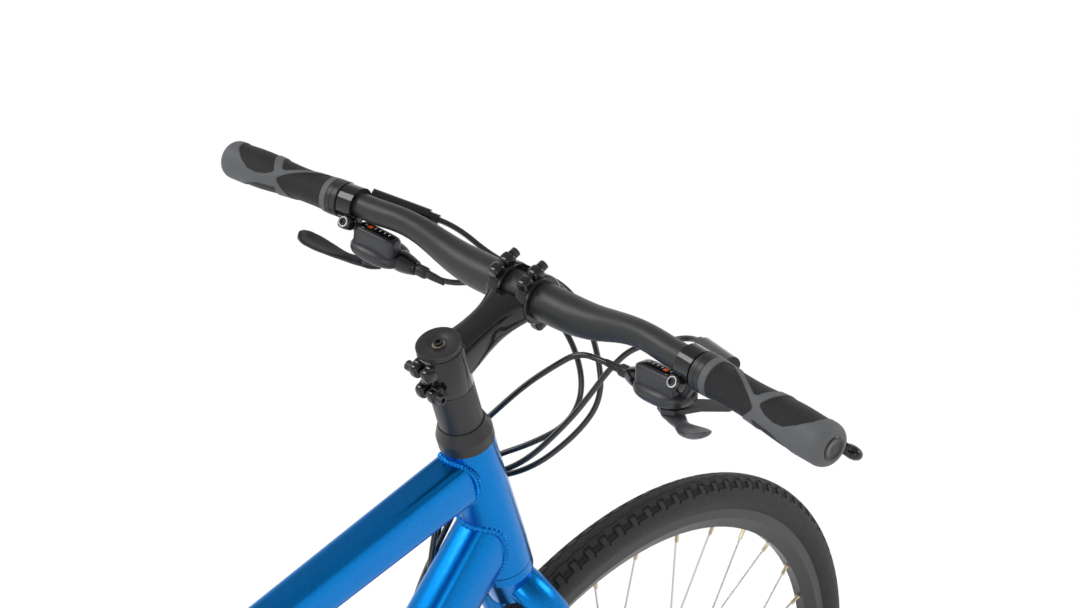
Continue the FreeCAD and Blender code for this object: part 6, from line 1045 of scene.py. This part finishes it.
for (side, hand), paddle_finish in zip(HANDS, (moulded, paddle_grey)):
    lever = f"{side}_thumb_lever"
    piece(f"{side}_paddle", mirrored(paddle[0], hand), paddle[1], paddle_finish, lever, "black_plastic",
          [lever])
print("paddle faces", len(paddle[1]))

# %% [markdown]
# ## Small hardware
# Bolts, rings and caps tell the eye how big everything is. They are turned shapes: a profile of radius
# and distance spun about the bolt's own axis, with a sunk socket.

# %% Fit the bolts, the top cap and the lever tips
BOLT_PROFILE = [(3.2, -7.0), (3.5, -0.2), (3.5, 1.0), (3.1, 1.5), (2.1, 1.5), (2.0, 1.2), (2.0, -0.6)]
SLEEVE_PROFILE = [(3.4, -1.5), (4.7, -1.5), (4.7, 0.5), (4.3, 0.9), (3.4, 0.9)]
CAP_PROFILE = [(4.6, -2.0), (18.3, -2.0), (18.6, -1.2), (18.6, 0.2), (17.9, 0.9), (16.7, 0.9), (16.3, 0.5),
               (8.0, 0.5), (7.5, 0.1), (5.8, 0.1), (5.4, -0.6), (4.6, -0.6)]
WASHER_PROFILE = [(3.9, -1.6), (5.3, -1.6), (5.3, -0.1), (5.0, 0.2), (3.9, 0.2)]
LEVER_AHEAD = np.array((0.8316, 0.1085, -0.5446))
LEVER_NORMAL = np.array((-0.5401, -0.0704, -0.8387))
CLAMP_WAY = unit(UP * 0.5 - BAR_AHEAD * 0.85)
CLAMP_INWARD, CLAMP_BACK, CLAMP_DROP = 4.0, 18.5, 9.5
CLAMP_EAR_SIZE = (13.5, 12.0, 11.0)
CLAMP_EAR_SINK = 5.0
TIP_OUT, TIP_AHEAD = 119.5, 56.5
TIP_SIZE = (17.0, 12.0, 10.6)
clamp_spot = from_spot(LEVER_SPOT, (-CLAMP_INWARD, BAR_OUT), (-CLAMP_BACK, BAR_AHEAD), (-CLAMP_DROP, UP))
ear_spot = from_spot(clamp_spot, (-CLAMP_EAR_SINK, CLAMP_WAY))
ear = soft_block(ear_spot, BAR_OUT, CLAMP_WAY, CLAMP_EAR_SIZE, 3.0, 4.0)
on_both_hands("clamp_ear", ear, gloss_black, "black_alloy")
on_both_hands("clamp_sleeve", loop_ring(SLEEVE_PROFILE, clamp_spot, CLAMP_WAY), bright_steel, "bright_steel")
on_both_hands("clamp_bolt", capped(turned(BOLT_PROFILE, clamp_spot, CLAMP_WAY)), black_alloy, "black_steel")
tip_spot = from_spot(LEVER_SPOT, (TIP_OUT, BAR_OUT), (TIP_AHEAD, LEVER_AHEAD))
tip = soft_block(tip_spot, BAR_OUT, LEVER_NORMAL, TIP_SIZE, 2.6, 2.2)
on_both_hands("lever_tip", tip, gloss_black, "black_alloy", body="{side}_brake_lever")
cap_height = ((vertices(nodes["headset_stack"].data) - HEAD_TOP) @ STEER_UP).max()
cap_spot = HEAD_TOP + STEER_UP * cap_height
piece("top_cap_face", *loop_ring(CAP_PROFILE, cap_spot, STEER_UP, 96), satin_black, "steering", "black_alloy")
piece("top_cap_washer", *loop_ring(WASHER_PROFILE, cap_spot, STEER_UP), brass, "steering", "bright_steel")
print("cap height", round(cap_height, 4))

# %% [markdown]
# ## Stem
# The stem is forged: a collar on the steerer, an arm with soft edges, and two loops that hold the bar,
# with a gap between them. Each loop is split and drawn together by bolts through small ears, and two ears
# behind the collar do the same there. The arm is a rounded section with its own width and height at each
# point.

# %% Forge the stem
STEM_HALF = 20.0
STEM_DROP = 4.5
BAR_CENTRE = np.array((0.36264, 0.0, 0.96826))
COLLAR_PROFILE = [(17.4, -20.0), (18.6, -19.4), (18.9, -18.6), (18.9, 18.6), (18.6, 19.4), (17.4, 20.0)]
LOOP_PROFILE = [(16.1, 9.0), (16.1, 22.4), (19.6, 22.4), (20.7, 21.4), (21.0, 19.5), (21.0, 11.9),
                (20.7, 10.0), (19.6, 9.0)]
ARM_START, ARM_STOP = 8.0, 24.5
ARM_ROWS = 50
ARM_SHARES = (0, 0.2, 0.45, 0.7, 0.88, 1)
ARM_HALF_WIDTHS = (16.6, 15.6, 14.5, 15.0, 18.5, 22.5)
ARM_HALF_HEIGHTS = (19.0, 17.2, 15.0, 14.4, 14.2, 13.6)
EAR_SIDE, EAR_RISE, EAR_DEPTH = 15.7, 22.2, 6.6
EAR_SIZE = (11.6, 12.4, 11.0)
PINCH_RISE, PINCH_BACK, PINCH_SIDE = 11.0, 20.8, 6.4
PINCH_SIZE = (11.0, 13.5, 13.0)
WEB_BACK, WEB_SIDE = 16.5, 6.6
WEB_SIZE = (9.0, 12.0, 15.0)
PLATE_RADIUS, PLATE_HALF_TURN, PLATE_ROWS = 18.6, 0.75, 24
PLATE_HALF_WIDTH, PLATE_HALF_THICK = 12.0, 2.2
stem_middle = from_spot(cap_spot, (-STEM_DROP - STEM_HALF, STEER_UP))
stem_ahead = unit(BAR_CENTRE - stem_middle)
stem_up = np.cross(stem_ahead, LEFT)
collar_back = unit(np.cross(STEER_UP, LEFT))
arm_share = np.linspace(0, 1, ARM_ROWS)
arm_run = from_spot(BAR_CENTRE, (-ARM_STOP, stem_ahead)) - stem_middle
arm_path = from_spot(stem_middle, (ARM_START, stem_ahead)) + arm_run * arm_share[:, None]
arm_width = eased(ARM_SHARES, ARM_HALF_WIDTHS, arm_share)
arm_height = eased(ARM_SHARES, ARM_HALF_HEIGHTS, arm_share)
stem_shapes = [capped(turned(COLLAR_PROFILE, stem_middle, STEER_UP, 96)),
               strap(arm_path, stem_up, arm_width, arm_height, sides=72, power=3.0)]
loop = loop_ring(LOOP_PROFILE, BAR_CENTRE, LEFT, 96)
for hand in (1, -1):
    stem_shapes.append((mirrored(loop[0], hand), loop[1]))
    for level, depth in ((1, -EAR_DEPTH), (1, EAR_DEPTH), (-1, -EAR_DEPTH), (-1, EAR_DEPTH)):
        ear_spot = from_spot(BAR_CENTRE, (EAR_SIDE * hand, LEFT), (EAR_RISE * level, stem_up),
                             (depth, stem_ahead))
        stem_shapes.append(soft_block(ear_spot, stem_ahead, stem_up, EAR_SIZE, 3.4, 3.0, 48, 17))
    for level in (1, -1):
        pinch_middle = from_spot(stem_middle, (PINCH_RISE * level, STEER_UP))
        pinch_spot = from_spot(pinch_middle, (PINCH_BACK, collar_back), (PINCH_SIDE * hand, LEFT))
        stem_shapes.append(soft_block(pinch_spot, LEFT, STEER_UP, PINCH_SIZE, 3.0, 2.8, 48, 17))
        web_spot = from_spot(pinch_middle, (WEB_BACK, collar_back), (WEB_SIDE * hand, LEFT))
        stem_shapes.append(soft_block(web_spot, LEFT, STEER_UP, WEB_SIZE, 4.0, 4.0, 32, 13))
plate_turn = np.linspace(-PLATE_HALF_TURN, PLATE_HALF_TURN, PLATE_ROWS)
plate_out = around(plate_turn, stem_ahead, stem_up)
plate_path = from_spot(BAR_CENTRE, (PLATE_RADIUS, plate_out))
stem_shapes.append(strap(plate_path, plate_out, PLATE_HALF_WIDTH, PLATE_HALF_THICK, sides=32, power=4.0))
piece("stem_forging", *many(stem_shapes), gloss_black, "steering", "black_paint", ["stem", "stem_faceplate"])
print("stem parts", len(stem_shapes))

# %% [markdown]
# ## Bosses and cable ports
# Two threaded bosses on the down tube take a bottle cage, and three cables enter the tube through rubber
# ports. A port sits where the cable's middle line passes through the skin, so the line is tested against
# the tube's section formula and the port is set on the first point inside.

# %% Fit the bosses and the ports
BOSS_PROFILE = [(2.1, -1.0), (5.4, -1.0), (5.4, 2.2), (4.8, 3.0), (2.1, 3.0)]
SCREW_PROFILE = [(2.0, 0.0), (4.2, 2.9), (4.2, 4.4), (3.4, 5.6), (1.9, 5.9), (1.8, 4.2)]
PORT_PROFILE = [(2.6, -7.0), (6.2, -7.0), (5.8, 0.5), (4.6, 3.0), (3.2, 4.0), (2.6, 4.0)]
BOSS_SHARE = 0.54
BOSS_HALF_SPACING = 32.0
PORT_POWER = 2.8
down_length = np.linalg.norm(DOWN_FRONT - BRACKET)
down_way = unit(DOWN_FRONT - BRACKET)
down_over = np.cross(down_way, LEFT)
boss_rings, boss_screws = [], []
for hand in (1, -1):
    boss_share = BOSS_SHARE + BOSS_HALF_SPACING * MM * hand / down_length
    half_tall = half_sizes(DOWN_SIZES, boss_share)[1]
    boss_spot = from_spot(slid((DOWN_FRONT, BRACKET), boss_share), (half_tall, down_over))
    boss_rings.append(loop_ring(BOSS_PROFILE, boss_spot, down_over, 40))
    boss_screws.append(capped(turned(SCREW_PROFILE, boss_spot, down_over, 40, hint=LEFT)))
piece("down_tube_bosses", *many(boss_rings), blue_paint, "frame", "frame_paint")
piece("boss_screws", *many(boss_screws), black_alloy, "frame", "black_steel")
ports = []
for line_name in ("rear_brake_line", "rear_shift_line", "front_shift_line"):
    line = cable_lines[line_name]
    from_bracket = line - BRACKET
    share = 1 - (from_bracket @ down_way) / down_length
    half_wide, half_tall = half_sizes(DOWN_SIZES, share)
    wide = np.abs(line @ LEFT) / (half_wide * MM)
    tall = np.abs(from_bracket @ down_over) / (half_tall * MM)
    first = int(np.argmax((wide ** PORT_POWER + tall ** PORT_POWER < 1) & (share > 0)))
    ports.append(loop_ring(PORT_PROFILE, line[first], line[max(first - 2, 0)] - line[first], 40))
    print(line_name, "enters at", line[first].round(3))
piece("cable_ports", *many(ports), rubber_black, "frame", "hose_skin")
